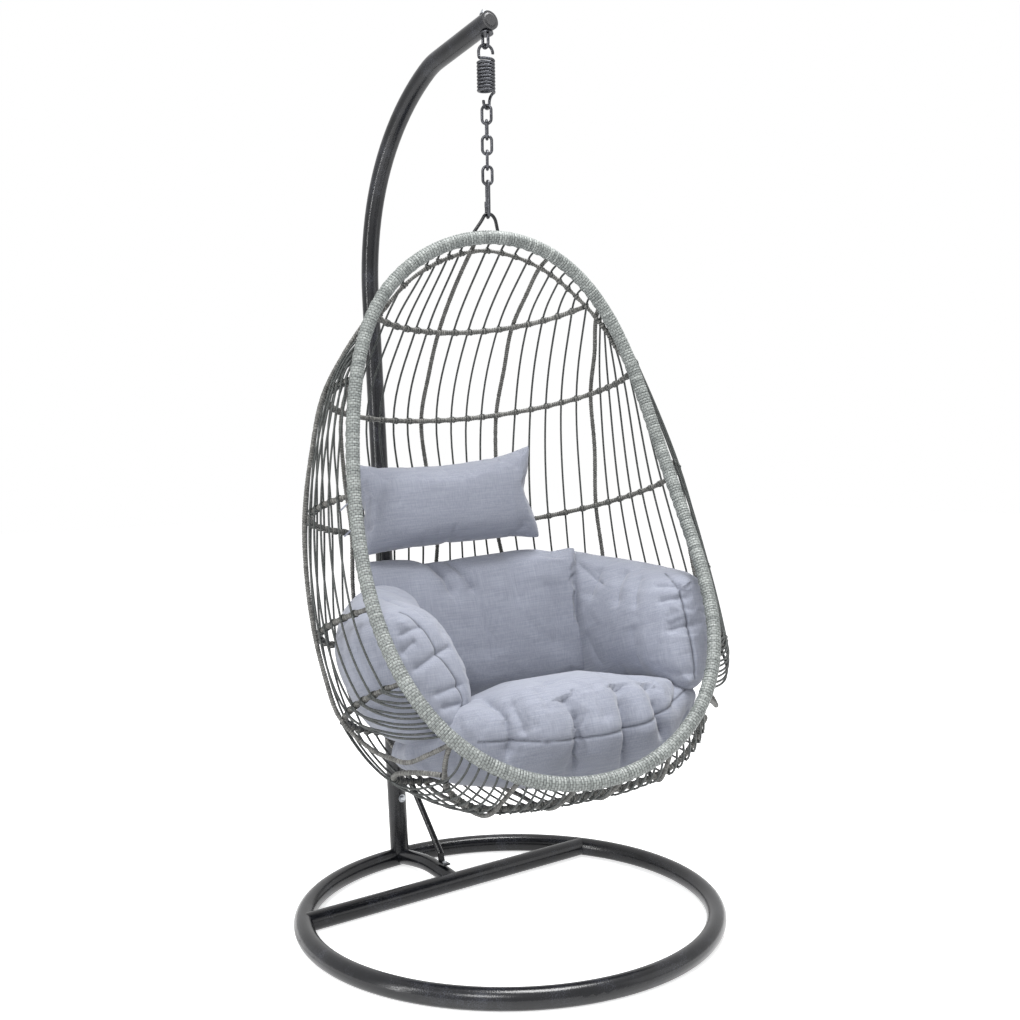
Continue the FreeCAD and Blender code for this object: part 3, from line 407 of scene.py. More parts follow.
# how far a span bends out, as a share of its length: the last span of a side line, and a rib's long spans
lineBow = {"sag": 0.12, "rib": 0.025, "longSpan": 110.0}


def lineRoute(number, returning=False):
    # the stops of one line, outside each rod that it crosses, and the crossings themselves
    radius = basket["rib"] if number in ribs.values() else basket["strand"]
    names = [name for name, (marks, crossedBy) in crossings.items() if number in crossedBy]
    side = 1 if number > lineEnds["middle"] else -1
    shift = side * lineEnds["returnShare"] if returning else 0
    places = []
    for name in names:
        marks = crossings[name][0]
        share = np.interp(number, list(marks), list(marks.values())) - shift
        places.append(placeAlong(runs[name], share))
    fromMiddle = abs(number - lineEnds["middle"])
    low, high = lineEnds["midSearch"]
    if fromMiddle >= lineEnds["midLines"]:
        low, high = sorted(side * angle for angle in lineEnds["topSearch"])
    topAngle = rimAngleNear(places[0][0], low, high)
    if names[0] != "crown_loop":
        topAngle = side * (lineEnds["top"] - lineEnds["topStep"] * (lineEnds["middle"] - fromMiddle))
    beyond = []
    if number in (ribs["rib_side_left"], ribs["rib_side_right"]):
        topAngle = side * lineEnds["ribTop"]
        endAngle = side * lineEnds["ribFoot"]
        beyond = [np.array(spot, float) * (side, 1, 1) for spot in lineEnds["ribBends"]]
    elif names[-1] == "bottom_hoop":
        endAngle = lineEnds["front"] - lineEnds["frontStep"] * (number - lineEnds["middle"])
    else:
        endAngle = side * (lineEnds["side"] + lineEnds["sideStep"] * (lineEnds["middle"] - fromMiddle))
    if returning:
        endAngle += side * lineEnds["returnAngle"]
    centres = [rimSpot(topAngle)] + [place[0] for place in places] + beyond + [rimSpot(endAngle)]
    stops, ties = [centres[0]], []
    for k, (name, (spot, heading)) in enumerate(zip(names, places)):
        rodSize = rodRadius.get(name, basket["hoop"])
        out = unit(np.cross(heading, unit(centres[k + 2] - centres[k])))
        out = out if out @ (spot - np.array(basket["middle"])) > 0 else -out
        stops.append(spot + out * (rodSize + radius + basket["crossing"]))
        ties.append({"spot": spot, "heading": heading, "out": out, "size": rodSize, "rod": name,
                     "line": number})
    stops += beyond
    if names[-1] == "hoop_5" and not beyond:
        stops.append(fromMiddleOut(stops[-1], centres[-1], lineBow["sag"]))
    stops.append(centres[-1])
    surface = basket["core"] + basket["loose"]
    arrows = slackHeadings(np.array(stops))
    for end, back, angle in ((0, arrows[0], topAngle), (-1, -arrows[-1], endAngle)):
        stops[end] = stopShort(stops[end], stops[end] + back, rimHeading(angle), surface, radius)
    return np.array(stops), ties


def withMiddles(stops):
    # a stop in the middle of each long span, a little outside it
    fuller = [stops[0]]
    for start, end in zip(stops, stops[1:]):
        if np.linalg.norm(end - start) > lineBow["longSpan"]:
            fuller.append(fromMiddleOut(start, end, lineBow["rib"]))
        fuller.append(end)
    return np.array(fuller)


# Tubes along a run: circles square to it, carried along without twisting

def facings(run, ring=False):
    # along the run, outward from the basket's middle and square to the run, and square to both
    slope = unit(np.roll(run, -1, 0) - np.roll(run, 1, 0)) if ring else unit(np.gradient(run, axis=0))
    out = run - np.array(basket["middle"])
    out = unit(out - slope * (out * slope).sum(-1, keepdims=True))
    return slope, out, np.cross(slope, out)


def circles(out, across, sides):
    # at each point of a run, cosine x outward + sine x sideways
    angle = 2 * np.pi * np.arange(sides) / sides
    return np.cos(angle)[None, :, None] * out[:, None] + np.sin(angle)[None, :, None] * across[:, None]


def roundTube(run, radii, sides=8, ring=False, marks=None):
    # point = run + radius x circle
    slope, out, across = facings(run, ring)
    tube = toWorld(run[:, None] + circles(out, across, sides) * radii[:, None, None])
    return tube, distances(run) if marks is None else marks, np.arange(sides + 1) / sides, ring


def evenly(run, spots, ring=False):
    # the run's points at given distances along it
    return between(spots, distances(run, ring), np.vstack([run, run[:1]]) if ring else run)


def runLength(run, ring=False):
    return distances(run, ring)[-1]


# Strips wound side by side: each is low at its edges and crowned between, and some lie higher than others
stripShape = {"places": (0.02, 0.2, 0.5, 0.8), "heights": (-0.75, 0.05, 0.3, 0.05), "uneven": 0.16}


def woundTube(run, radius, strip, sides, seed, ring=False, swell=None):
    # a round tube whose radius is the rod's, plus the strip's height at that share of it, plus any swell
    length = runLength(run, ring)
    count = int(round(length / strip))
    chance = np.random.default_rng(seed)
    places = (np.arange(count)[:, None] + np.array(stripShape["places"])).ravel()
    rise = np.tile(stripShape["heights"], count)
    rise = rise + np.repeat(chance.normal(0, stripShape["uneven"], count), len(stripShape["places"]))
    if not ring:
        places = np.append(places, count)
        rise = np.append(rise, rise[-1])
    spots = places * (length / count)
    radii = radius + rise
    if swell is not None:
        radii = radii + swell(spots)
    marks = np.append(places, count) if ring else places
    return roundTube(evenly(run, spots, ring), radii, sides, ring, marks)


print("basket runs ready")

# Finishes: a pattern's Scale is 1000 over its size in millimetres, unless its UV map counts in something else

def powderCoat():
    # epoxy powder coat over steel: charcoal and semi-gloss, with a hammered speckle of 2 to 3 mm that breaks
    # up the highlights
    material = newMaterial("hammertonePowderCoat", Roughness=0.22, Specular_IOR_Level=0.4)
    place = addNode(material, "ShaderNodeTexCoord").outputs["Object"]
    speckle = addNode(material, "ShaderNodeTexNoise", {"Vector": place, "Scale": 420.0, "Detail": 3.0})
    cloudy = addNode(material, "ShaderNodeTexNoise", {"Vector": place, "Scale": 22.0, "Detail": 2.0})
    blend = addNode(material, "ShaderNodeMath", {0: speckle.outputs["Fac"], 1: cloudy.outputs["Fac"]},
                    operation="MULTIPLY")
    tint = addNode(material, "ShaderNodeValToRGB", {"Fac": blend.outputs[0]},
                   stops=((0.12, "#0b0c0f"), (0.3, "#17181c"), (0.42, "#34363d")))
    grain = addNode(material, "ShaderNodeTexVoronoi", {"Vector": place, "Scale": 330.0})
    bump = addNode(material, "ShaderNodeBump", {"Height": grain.outputs["Distance"], "Strength": 0.16,
                                                "Distance": 0.0006})
    return finished(material, tint.outputs["Color"], bump)


def steel(name, colour, roughness, mottled):
    # drawn steel wire or a turned part: a thin oxide or zinc skin, faint blotches of 6 mm and fine scratches
    material = newMaterial(name, Metallic=1.0, Roughness=roughness)
    place = addNode(material, "ShaderNodeTexCoord").outputs["Object"]
    blotch = addNode(material, "ShaderNodeTexNoise", {"Vector": place, "Scale": 160.0, "Detail": 4.0})
    tint = addNode(material, "ShaderNodeValToRGB", {"Fac": blotch.outputs["Fac"]},
                   stops=((0.3, mottled), (0.65, colour)))
    scratch = addNode(material, "ShaderNodeTexNoise", {"Vector": place, "Scale": 900.0, "Detail": 2.0})
    bump = addNode(material, "ShaderNodeBump", {"Height": scratch.outputs["Fac"], "Strength": 0.08,
                                                "Distance": 0.0003})
    return finished(material, tint.outputs["Color"], bump)


# How light painted shade leaves a strip or a cell at its edge, and how far from its middle the shade begins
# and ends
edgeShade = {"strip": {"From Min": 0.36, "From Max": 0.49, "To Min": 1.0, "To Max": 0.22},
             "cell": {"From Min": 0.34, "From Max": 0.46, "To Min": 1.0, "To Max": 0.5}}


def darkEdge(material, counted, shade):
    # 1 in the middle of each whole number's stretch, darker towards its two ends
    within = addNode(material, "ShaderNodeMath", {0: counted}, operation="FRACT")
    within = addNode(material, "ShaderNodeMath", {0: within.outputs[0], 1: 0.5}, operation="SUBTRACT")
    within = addNode(material, "ShaderNodeMath", {0: within.outputs[0]}, operation="ABSOLUTE")
    return addNode(material, "ShaderNodeMapRange", {"Value": within.outputs[0], **shade})


def wickerStrip(name, dark, middle, light, cells=0):
    # extruded polyethylene strip, 6 mm wide: satin, grey, with fine drawn lines along it and painted shade in
    # the gaps beside it; the UV map's U counts strips and V is the share of a turn round the rod
    material = newMaterial(name, Roughness=0.5, IOR=1.5)
    wrap = addNode(material, "ShaderNodeUVMap", uv_map="wrap").outputs["UV"]
    parts = addNode(material, "ShaderNodeSeparateXYZ", {"Vector": wrap})
    number = addNode(material, "ShaderNodeMath", {0: parts.outputs["X"]}, operation="FLOOR")
    chance = addNode(material, "ShaderNodeTexWhiteNoise", {"W": number.outputs[0]}, noise_dimensions="1D")
    flat = addNode(material, "ShaderNodeCombineXYZ", {"X": parts.outputs["X"], "Y": parts.outputs["Y"]})
    scaled = addNode(material, "ShaderNodeMapping", {"Vector": flat.outputs[0], "Scale": (7.0, 2.2, 1.0)})
    streaks = addNode(material, "ShaderNodeTexNoise", {"Vector": scaled.outputs[0], "Scale": 1.0,
                                                       "Detail": 3.0})
    place = addNode(material, "ShaderNodeTexCoord").outputs["Object"]
    fleck = addNode(material, "ShaderNodeTexNoise", {"Vector": place, "Scale": 260.0, "Detail": 2.0})
    mixed = addNode(material, "ShaderNodeMath", {0: chance.outputs["Value"], 1: 0.12,
                                                 2: streaks.outputs["Fac"]}, operation="MULTIPLY_ADD")
    mixed = addNode(material, "ShaderNodeMath", {0: fleck.outputs["Fac"], 1: 0.3, 2: mixed.outputs[0]},
                    operation="MULTIPLY_ADD")
    tone = addNode(material, "ShaderNodeValToRGB", {"Fac": mixed.outputs[0]},
                   stops=((0.52, dark), (0.71, middle), (0.9, light)))
    # painted shade in the gaps between strips: each strip darker towards its two edges
    gapShade = darkEdge(material, parts.outputs["X"], edgeShade["strip"])
    if cells:
        # lengthwise ribbons cross the strips: cells round the rod, half a cell over in every second strip
        step = addNode(material, "ShaderNodeMath", {0: number.outputs[0], 1: 0.5}, operation="MULTIPLY")
        step = addNode(material, "ShaderNodeMath", {0: step.outputs[0]}, operation="FRACT")
        cell = addNode(material, "ShaderNodeMath", {0: parts.outputs["Y"], 1: cells, 2: step.outputs[0]},
                       operation="MULTIPLY_ADD")
        # painted shade: each cell darker towards its edges, where the ribbons cross
        cell = darkEdge(material, cell.outputs[0], edgeShade["cell"])
        gapShade = addNode(material, "ShaderNodeMath", {0: gapShade.outputs[0], 1: cell.outputs[0]},
                      operation="MULTIPLY")
    shaded = addNode(material, "ShaderNodeMix", {"Factor": 1.0, "A": tone.outputs["Color"],
                                                 "B": gapShade.outputs[0]},
                     data_type="RGBA", blend_type="MULTIPLY")
    bump = addNode(material, "ShaderNodeBump", {"Height": streaks.outputs["Fac"], "Strength": 0.25,
                                                "Distance": 0.0008})
    return finished(material, shaded.outputs["Result"], bump)


def cordBlack():
    # round braided cord, matt and near black, its plait 1.5 mm long; the UV map's U is in millimetres
    material = newMaterial("braidedCord", Roughness=0.55)
    wrap = addNode(material, "ShaderNodeUVMap", uv_map="wrap").outputs["UV"]
    plait = addNode(material, "ShaderNodeMapping", {"Vector": wrap, "Scale": (0.66, 4.0, 1.0)})
    weave = addNode(material, "ShaderNodeTexVoronoi", {"Vector": plait.outputs[0], "Scale": 1.0})
    tint = addNode(material, "ShaderNodeValToRGB", {"Fac": weave.outputs["Distance"]},
                   stops=((0.1, "#575c5a"), (0.6, "#2a2d2c")))
    bump = addNode(material, "ShaderNodeBump", {"Height": weave.outputs["Distance"], "Strength": 0.3,
                                                "Distance": 0.0005})
    return finished(material, tint.outputs["Color"], bump)


def wovenCloth():
    # plain-woven polyester, matt with a soft sheen, slubbed both ways; threads are 0.6 mm apart and drawn at
    # 1.7 mm to show
    material = newMaterial("slubbedPolyester", Roughness=0.85, Sheen_Weight=0.25, Sheen_Roughness=0.5)
    place = addNode(material, "ShaderNodeTexCoord").outputs["Object"]
    turn = Matrix([list(row) for row in axes]).to_euler()
    laid = addNode(material, "ShaderNodeMapping", {"Vector": place, "Rotation": turn}).outputs[0]
    slubs = []
    for scale in ((18.0, 18.0, 620.0), (620.0, 420.0, 18.0)):
        drawn = addNode(material, "ShaderNodeMapping", {"Vector": laid, "Scale": scale})
        noise = addNode(material, "ShaderNodeTexNoise", {"Vector": drawn.outputs[0], "Scale": 1.0,
                                                         "Detail": 2.0})
        slubs.append(noise.outputs["Fac"])
    both = addNode(material, "ShaderNodeMath", {0: slubs[0], 1: slubs[1]}, operation="ADD")
    half = addNode(material, "ShaderNodeMath", {0: both.outputs[0], 1: 0.5}, operation="MULTIPLY")
    tone = addNode(material, "ShaderNodeValToRGB", {"Fac": half.outputs[0]},
                   stops=((0.36, "#808491"), (0.5, "#8a8e9b"), (0.66, "#9498a4")))
    # painted shade: the cloth darkens along each seam, standing in for the shadow in its crease
    seam_shade = addNode(material, "ShaderNodeAttribute", attribute_name="seam_shade")
    seamShaded = addNode(material, "ShaderNodeMix", {"Factor": seam_shade.outputs["Fac"], "A": tone.outputs["Color"],
                                               "B": hexColour("#4b4f5a")}, data_type="RGBA")
    # slack cloth stands up to 8 mm proud in waves of about 80 mm
    slack = addNode(material, "ShaderNodeTexNoise", {"Vector": laid, "Scale": 13.0, "Detail": 2.0,
                                                     "Distortion": 0.6})
    loose = addNode(material, "ShaderNodeBump", {"Height": slack.outputs["Fac"], "Strength": 0.6,
                                                 "Distance": 0.008})
    bump = addNode(material, "ShaderNodeBump", {"Height": half.outputs[0], "Strength": 0.25,
                                                "Distance": 0.0006, "Normal": loose.outputs["Normal"]})
    return finished(material, seamShaded.outputs["Result"], bump)


def mouldedPlastic():
    # injection-moulded polypropylene: black and dull, finely sparked in the mould
    material = newMaterial("mouldedPolypropylene", Roughness=0.5)
    place = addNode(material, "ShaderNodeTexCoord").outputs["Object"]
    grain = addNode(material, "ShaderNodeTexNoise", {"Vector": place, "Scale": 700.0, "Detail": 2.0})
    tint = addNode(material, "ShaderNodeValToRGB", {"Fac": grain.outputs["Fac"]},
                   stops=((0.3, "#131315"), (0.7, "#232326")))
    return finished(material, tint.outputs["Color"])


finishes = {
    "coat": powderCoat(),
    "wire": steel("oxidisedSpringSteel", "#55565a", 0.38, "#36373a"),
    "zinc": steel("zincPlatedSteel", "#c3c6ca", 0.3, "#9a9da2"),
    "rimStrip": wickerStrip("polyStripSilver", "#5a5f5e", "#828785", "#b0b5b2", cells=9),
    "hoopStrip": wickerStrip("polyStripGrey", "#3a3a38", "#5a5a57", "#8d8c88"),
    "cord": cordBlack(),
    "cloth": wovenCloth(),
    "plastic": mouldedPlastic(),
}

nodeFinish = {
    "coat": ("base_ring", "crossbar", "spur", "post_socket", "pole", "brace_rod", "hanging_loop", "rim_core"),
    "wire": ("hanger_eye", "tension_spring", "chain_link_1", "chain_link_2", "chain_link_3", "chain_link_4",
             "chain_link_5", "snap_hook_body", "snap_hook_gate", "gate_sleeve"),
    "zinc": ("post_bolt", "post_washer", "post_nut", "brace_bolts", "hanger_washer", "hanger_nut",
             "gate_pin"),
    "plastic": ("pole_end_cap",),
}
for finish, names in nodeFinish.items():
    for name in names:
        for holder in nodes[name].material_slots:
            holder.material = finishes[finish]
print("finishes ready")

# Tension spring, an upper and a lower hook with coils between: copied from its solid as one piece
coil = {"top": (0.0, 0.0, 1.8885), "foot": (0.0, 0.0, 1.8195), "merge": 1e-5, "crease": 40.0}


def springPiece():
    # the solid's own surface, its loose triangles merged into one skin with crisp cut ends
    solid = nodes["tension_spring"]
    skin = bmesh.new()
    skin.from_mesh(solid.data)
    skin.transform(solid.matrix_world)
    bmesh.ops.remove_doubles(skin, verts=skin.verts, dist=coil["merge"])
    mesh = bpy.data.meshes.new("spring_wire")
    skin.to_mesh(mesh)
    skin.free()
    mesh.shade_smooth()
    mesh.set_sharp_from_angle(angle=math.radians(coil["crease"]))
    mesh.materials.append(finishes["wire"])
    springWire = newObject("spring_wire", mesh)
    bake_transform(springWire)
    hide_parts("tension_spring")


springPiece()
print("spring ready")

# Woven rim, hoops and ribs

# the strip's width, the ribbons' places in degrees round the rim, their width and thickness, and how they
# weave: strips per wave, the share of a wave that each is ahead of the last, and how far they rise and dip
rimLook = {"strip": 6.0, "sides": 36, "inside": 0.1, "runners": (-62, -30, 2, 34, 66), "runnerWidth": 5.0,
           "runnerThick": 0.9, "lift": 0.75, "wave": 4, "ahead": 0.25, "steep": 2.2, "dip": -1.6, "rise": 0.9,
           "markStep": 0.11}
rimRun = rimSpot(np.arange(-180, 180, 0.5))


def rimRunners(look):
    # thin ribbons laid lengthwise, over two strips and under two: a clipped sine of the strips counted along
    # the rim, each ribbon a quarter wave from the next
    length = runLength(rimRun, True)
    count = int(round(length / look["strip"])) * 2
    run = evenly(rimRun, np.arange(count) * length / count, True)
    slope, out, across = facings(run, True)
    # across and up, as shares of the width and the thickness
    outline = ((-0.5, -0.5), (0.5, -0.5), (0.5, 0.3), (0.2, 0.5), (-0.2, 0.5), (-0.5, 0.3))
    grids = []
    for order, degrees in enumerate(look["runners"]):
        beat = np.sin(2 * np.pi * (np.arange(count) / (2 * look["wave"]) + order * look["ahead"]))
        rise = basket["wrap"] + look["lift"] * np.clip(beat * look["steep"], look["dip"], look["rise"])
        turn = math.radians(degrees + 90)
        facing = out * math.cos(turn) + across * math.sin(turn)
        side = across * math.cos(turn) - out * math.sin(turn)
        ribbon = np.stack([run + facing * (rise[:, None] + b * look["runnerThick"])
                           + side * (a * look["runnerWidth"]) for a, b in outline], 1)
        rowMarks = np.arange(count + 1) * look["markStep"]
        grids.append((toWorld(ribbon), rowMarks, np.arange(len(outline) + 1) / len(outline), True))
    return grids


rimGrid = woundTube(rimRun, basket["wrap"] - rimLook["inside"], rimLook["strip"], rimLook["sides"], 3,
                    ring=True)
addPiece("rim_wicker", [rimGrid], "basket", finishes["rimStrip"], ["rim_wrap"])
addPiece("rim_runners", rimRunners(rimLook), "basket", finishes["rimStrip"])

routes = {number: lineRoute(number) for number in allLines}
ties = [tie for route in routes.values() for tie in route[1]]

# the strip's width, how far the wrap's middle lies inside the rod's own surface, and how much it swells, over
# what width, where it takes in a strand
hoopLook = {"strip": 5.6, "sides": 14, "inside": 0.2, "swell": 1.5, "swellWidth": 9.0, "ribSides": 12}
for seed, (name, run) in enumerate(runs.items()):
    crossed = [tie["spot"] for tie in ties if tie["rod"] == name]
    travelled = distances(run)
    marks = np.array([travelled[np.linalg.norm(run - spot, axis=1).argmin()] for spot in crossed])

    def swell(spots):
        # a bell curve about each crossing
        near = np.abs(spots[:, None] - marks[None]).min(1)
        return hoopLook["swell"] * np.exp(-(near / hoopLook["swellWidth"]) ** 2)

    radius = rodRadius.get(name, basket["hoop"]) - hoopLook["inside"]
    grid = woundTube(run, radius, hoopLook["strip"], hoopLook["sides"], 20 + seed, swell=swell)
    addPiece(name + "_wicker", [grid], "basket", finishes["hoopStrip"], [name])

for seed, (name, number) in enumerate(ribs.items()):
    run = runThrough(withMiddles(routes[number][0]))
    grid = woundTube(run, basket["rib"], hoopLook["strip"], hoopLook["ribSides"], 40 + seed)
    addPiece(name + "_wicker", [grid], "basket", finishes["hoopStrip"], [name])
print("woven rim, hoops and ribs ready")


# Strands and their knots

def strandGrid(stops):
    # a plain round cord through its stops, straight wherever they let it be
    run = runThrough(stops, perSpan=8, arrows=slackHeadings(stops))
    return roundTube(run, np.full(len(run), basket["strand"]))


strandGrids = [strandGrid(route[0]) for number, route in routes.items() if number not in ribs.values()]
sideLines = [*range(ribs["rib_side_left"]), *range(ribs["rib_side_right"] + 1, len(allLines))]
# beside the seat each cord runs back from the rim, so its last two stretches are doubled
strandGrids += [strandGrid(lineRoute(number, True)[0][-3:]) for number in sideLines]
strandNodes = [name for name in nodes if name.startswith("strands_")]
addPiece("strands", strandGrids, "basket", finishes["cord"], strandNodes)

# millimetres: how far the cord slants to each side, its radius, its gap to the rod's middle line, how far it
# rises over the strand, and how much higher its twin lies; turn is the share of a full turn that it goes
knotLook = {"lead": 4.2, "cord": 1.4, "sides": 6, "rings": 15, "clear": 1.0, "over": 5.0, "twin": 0.5,
            "turn": 0.95, "narrow": 3}


def knotGrid(tie, look, hand):
    # a cord slants over the strand and round the rod; its twin slants the other way, over it:
    # point = spot + heading x lead x sine of half the turn + (out x cosine + across x sine) x reach
    heading, out = tie["heading"], tie["out"]
    across = np.cross(heading, out)
    turn = math.pi * np.linspace(-look["turn"], look["turn"], look["rings"])
    lead = hand * look["lead"] * np.sin(turn / 2)
    above = np.clip(np.cos(turn), 0, 1) ** look["narrow"]
    reach = tie["size"] + look["clear"] + (look["over"] + look["twin"] * hand) * above
    path = (tie["spot"] + heading * lead[:, None]
            + (out * np.cos(turn)[:, None] + across * np.sin(turn)[:, None]) * reach[:, None])
    slope = unit(np.gradient(path, axis=0))
    facing = unit(np.cross(slope, np.broadcast_to(heading, slope.shape)))
    tube = toWorld(path[:, None] + circles(facing, np.cross(slope, facing), look["sides"]) * look["cord"])
    return tube, np.arange(look["rings"]) * 1.0, np.arange(look["sides"] + 1) / look["sides"], False


knotGrids = [knotGrid(tie, knotLook, hand) for tie in ties if tie["line"] not in ribs.values()
             for hand in (1, -1)]
addPiece("strand_knots", knotGrids, "basket", finishes["cord"])
print("strands and", len(knotGrids) // 2, "knots ready")

# Cushions

# Each station is an outline's middle, the way up and the way out of it, and half its height and thickness; s
# is the station's place, from -1 at one end to 1 at the other. voxel and cap are in millimetres
cushionForms = {
    "head_pillow": {
        "stations": [((-88 + 212 * s, -352 + 26 * s * s, -502.0), (0, 0.22, 1), (0, 1, -0.22), tall, thick)
                     for s, tall, thick in ((-1, 108, 5), (-0.95, 106, 22), (-0.7, 100, 48), (-0.35, 97, 60),
                                            (0, 96, 63), (0.35, 97, 60), (0.7, 100, 48), (0.95, 106, 22),
                                            (1, 108, 5))], "voxel": 5.0, "cap": 8.0, "fill": 0.7},
    "back_cushion": {
        "stations": [((-50 + 262 * s, -424 + 62 * s * s, -790.0), (0, 0.12, 1), (0, 1, -0.12), tall, thick)
                     for s, tall, thick in ((-1, 168, 6), (-0.95, 172, 22), (-0.6, 176, 52), (-0.2, 174, 58),
                                            (0.2, 174, 58), (0.6, 176, 52), (0.95, 172, 22), (1, 168, 6))],
        "voxel": 6.0, "cap": 8.0, "fill": 0.6},
    "seat_cushion": {
        "stations": [((u, v, w), (0, 1, -0.08), (0, 0.08, 1), tall, thick)
                     for u, v, w, tall, thick in (
                         (-342, -205, -1056, 58, 6), (-332, -204, -1057, 78, 20), (-306, -202, -1058, 98, 33),
                         (-212, -190, -1062, 150, 74), (-80, -182, -1062, 178, 106),
                         (80, -182, -1062, 178, 106), (212, -190, -1062, 150, 72),
                         (306, -202, -1060, 96, 31), (332, -204, -1059, 76, 18),
                         (342, -205, -1058, 56, 6))], "voxel": 6.0, "cap": 8.0, "fill": 0.75},
}
# For the arms: an outline's middle, how far it leans out, and half its height and thickness; both arms start
# alike beside the back pad
armStarts = (((196, -424, -800), 0.13, 160, 6), ((206, -416, -804), 0.13, 166, 26),
             ((250, -372, -822), 0.15, 162, 70))
armRuns = {
    1: (((300, -300, -846), 0.16, 150, 85), ((330, -225, -872), 0.2, 140, 89),
        ((336, -158, -892), 0.22, 132, 79), ((328, -110, -902), 0.24, 123, 50),
        ((322, -86, -906), 0.24, 110, 10)),
    -1: (((290, -300, -850), 0.22, 158, 99), ((300, -225, -878), 0.3, 150, 115),
         ((292, -155, -900), 0.34, 144, 115), ((282, -110, -910), 0.36, 134, 86),
         ((276, -80, -914), 0.36, 116, 14)),
}


def armStations(side):
    # along the wall: each outline stands square to the run between its neighbours
    along = armStarts + armRuns[side]
    middles = np.array([station[0] for station in along], float)
    mirror = np.array([side, 1, 1])
    stations = []
    for k, (middle, lean, tall, thick) in enumerate(along):
        heading = middles[min(k + 1, len(along) - 1)] - middles[max(k - 1, 0)]
        heading = unit(heading * (1, 1, 0))
        outward = unit(np.cross(unit(np.array([lean, 0, 1.0])), heading))
        upward = np.cross(heading, outward)
        stations.append((np.array(middle) * mirror, upward * mirror, outward * mirror, tall, thick))
    return stations


for side, name in ((1, "arm_bolster_right"), (-1, "arm_bolster_left")):
    cushionForms[name] = {"stations": armStations(side), "voxel": 5.0, "cap": 8.0, "fill": 0.65}


outlineShape = {"columns": 56, "perSpan": 5, "power": 2.6}


def cushionGrid(form, shape):
    # outlines between the stations are straight blends of them; each is a superellipse:
    # point = middle + up x height x rounded cosine + out x thickness x rounded sine
    table = np.array([np.concatenate([m, unit(np.array(t, float)), unit(np.array(o, float)), [a, b]])
                      for m, t, o, a, b in form["stations"]], float)
    places = distances(table[:, :3])
    fine = np.concatenate([np.linspace(places[k], places[k + 1], shape["perSpan"], endpoint=False)
                           for k in range(len(places) - 1)] + [places[-1:]])
    smooth = between(fine, places, table)
    angle = 2 * np.pi * np.arange(shape["columns"]) / shape["columns"]
    tall = rounded(np.cos(angle), shape["power"])
    thick = rounded(np.sin(angle), shape["power"])
    return (smooth[:, None, :3] + smooth[:, None, 3:6] * (tall[None, :, None] * smooth[:, None, 9:10])
            + smooth[:, None, 6:9] * (thick[None, :, None] * smooth[:, None, 10:11]))


def applyModifiers(piece):
    # the mesh that the modifiers give takes the place of the piece's own
    shown = piece.evaluated_get(bpy.context.evaluated_depsgraph_get())
    mesh = bpy.data.meshes.new_from_object(shown)
    piece.modifiers.clear()
    old, piece.data = piece.data, mesh
    bpy.data.meshes.remove(old)
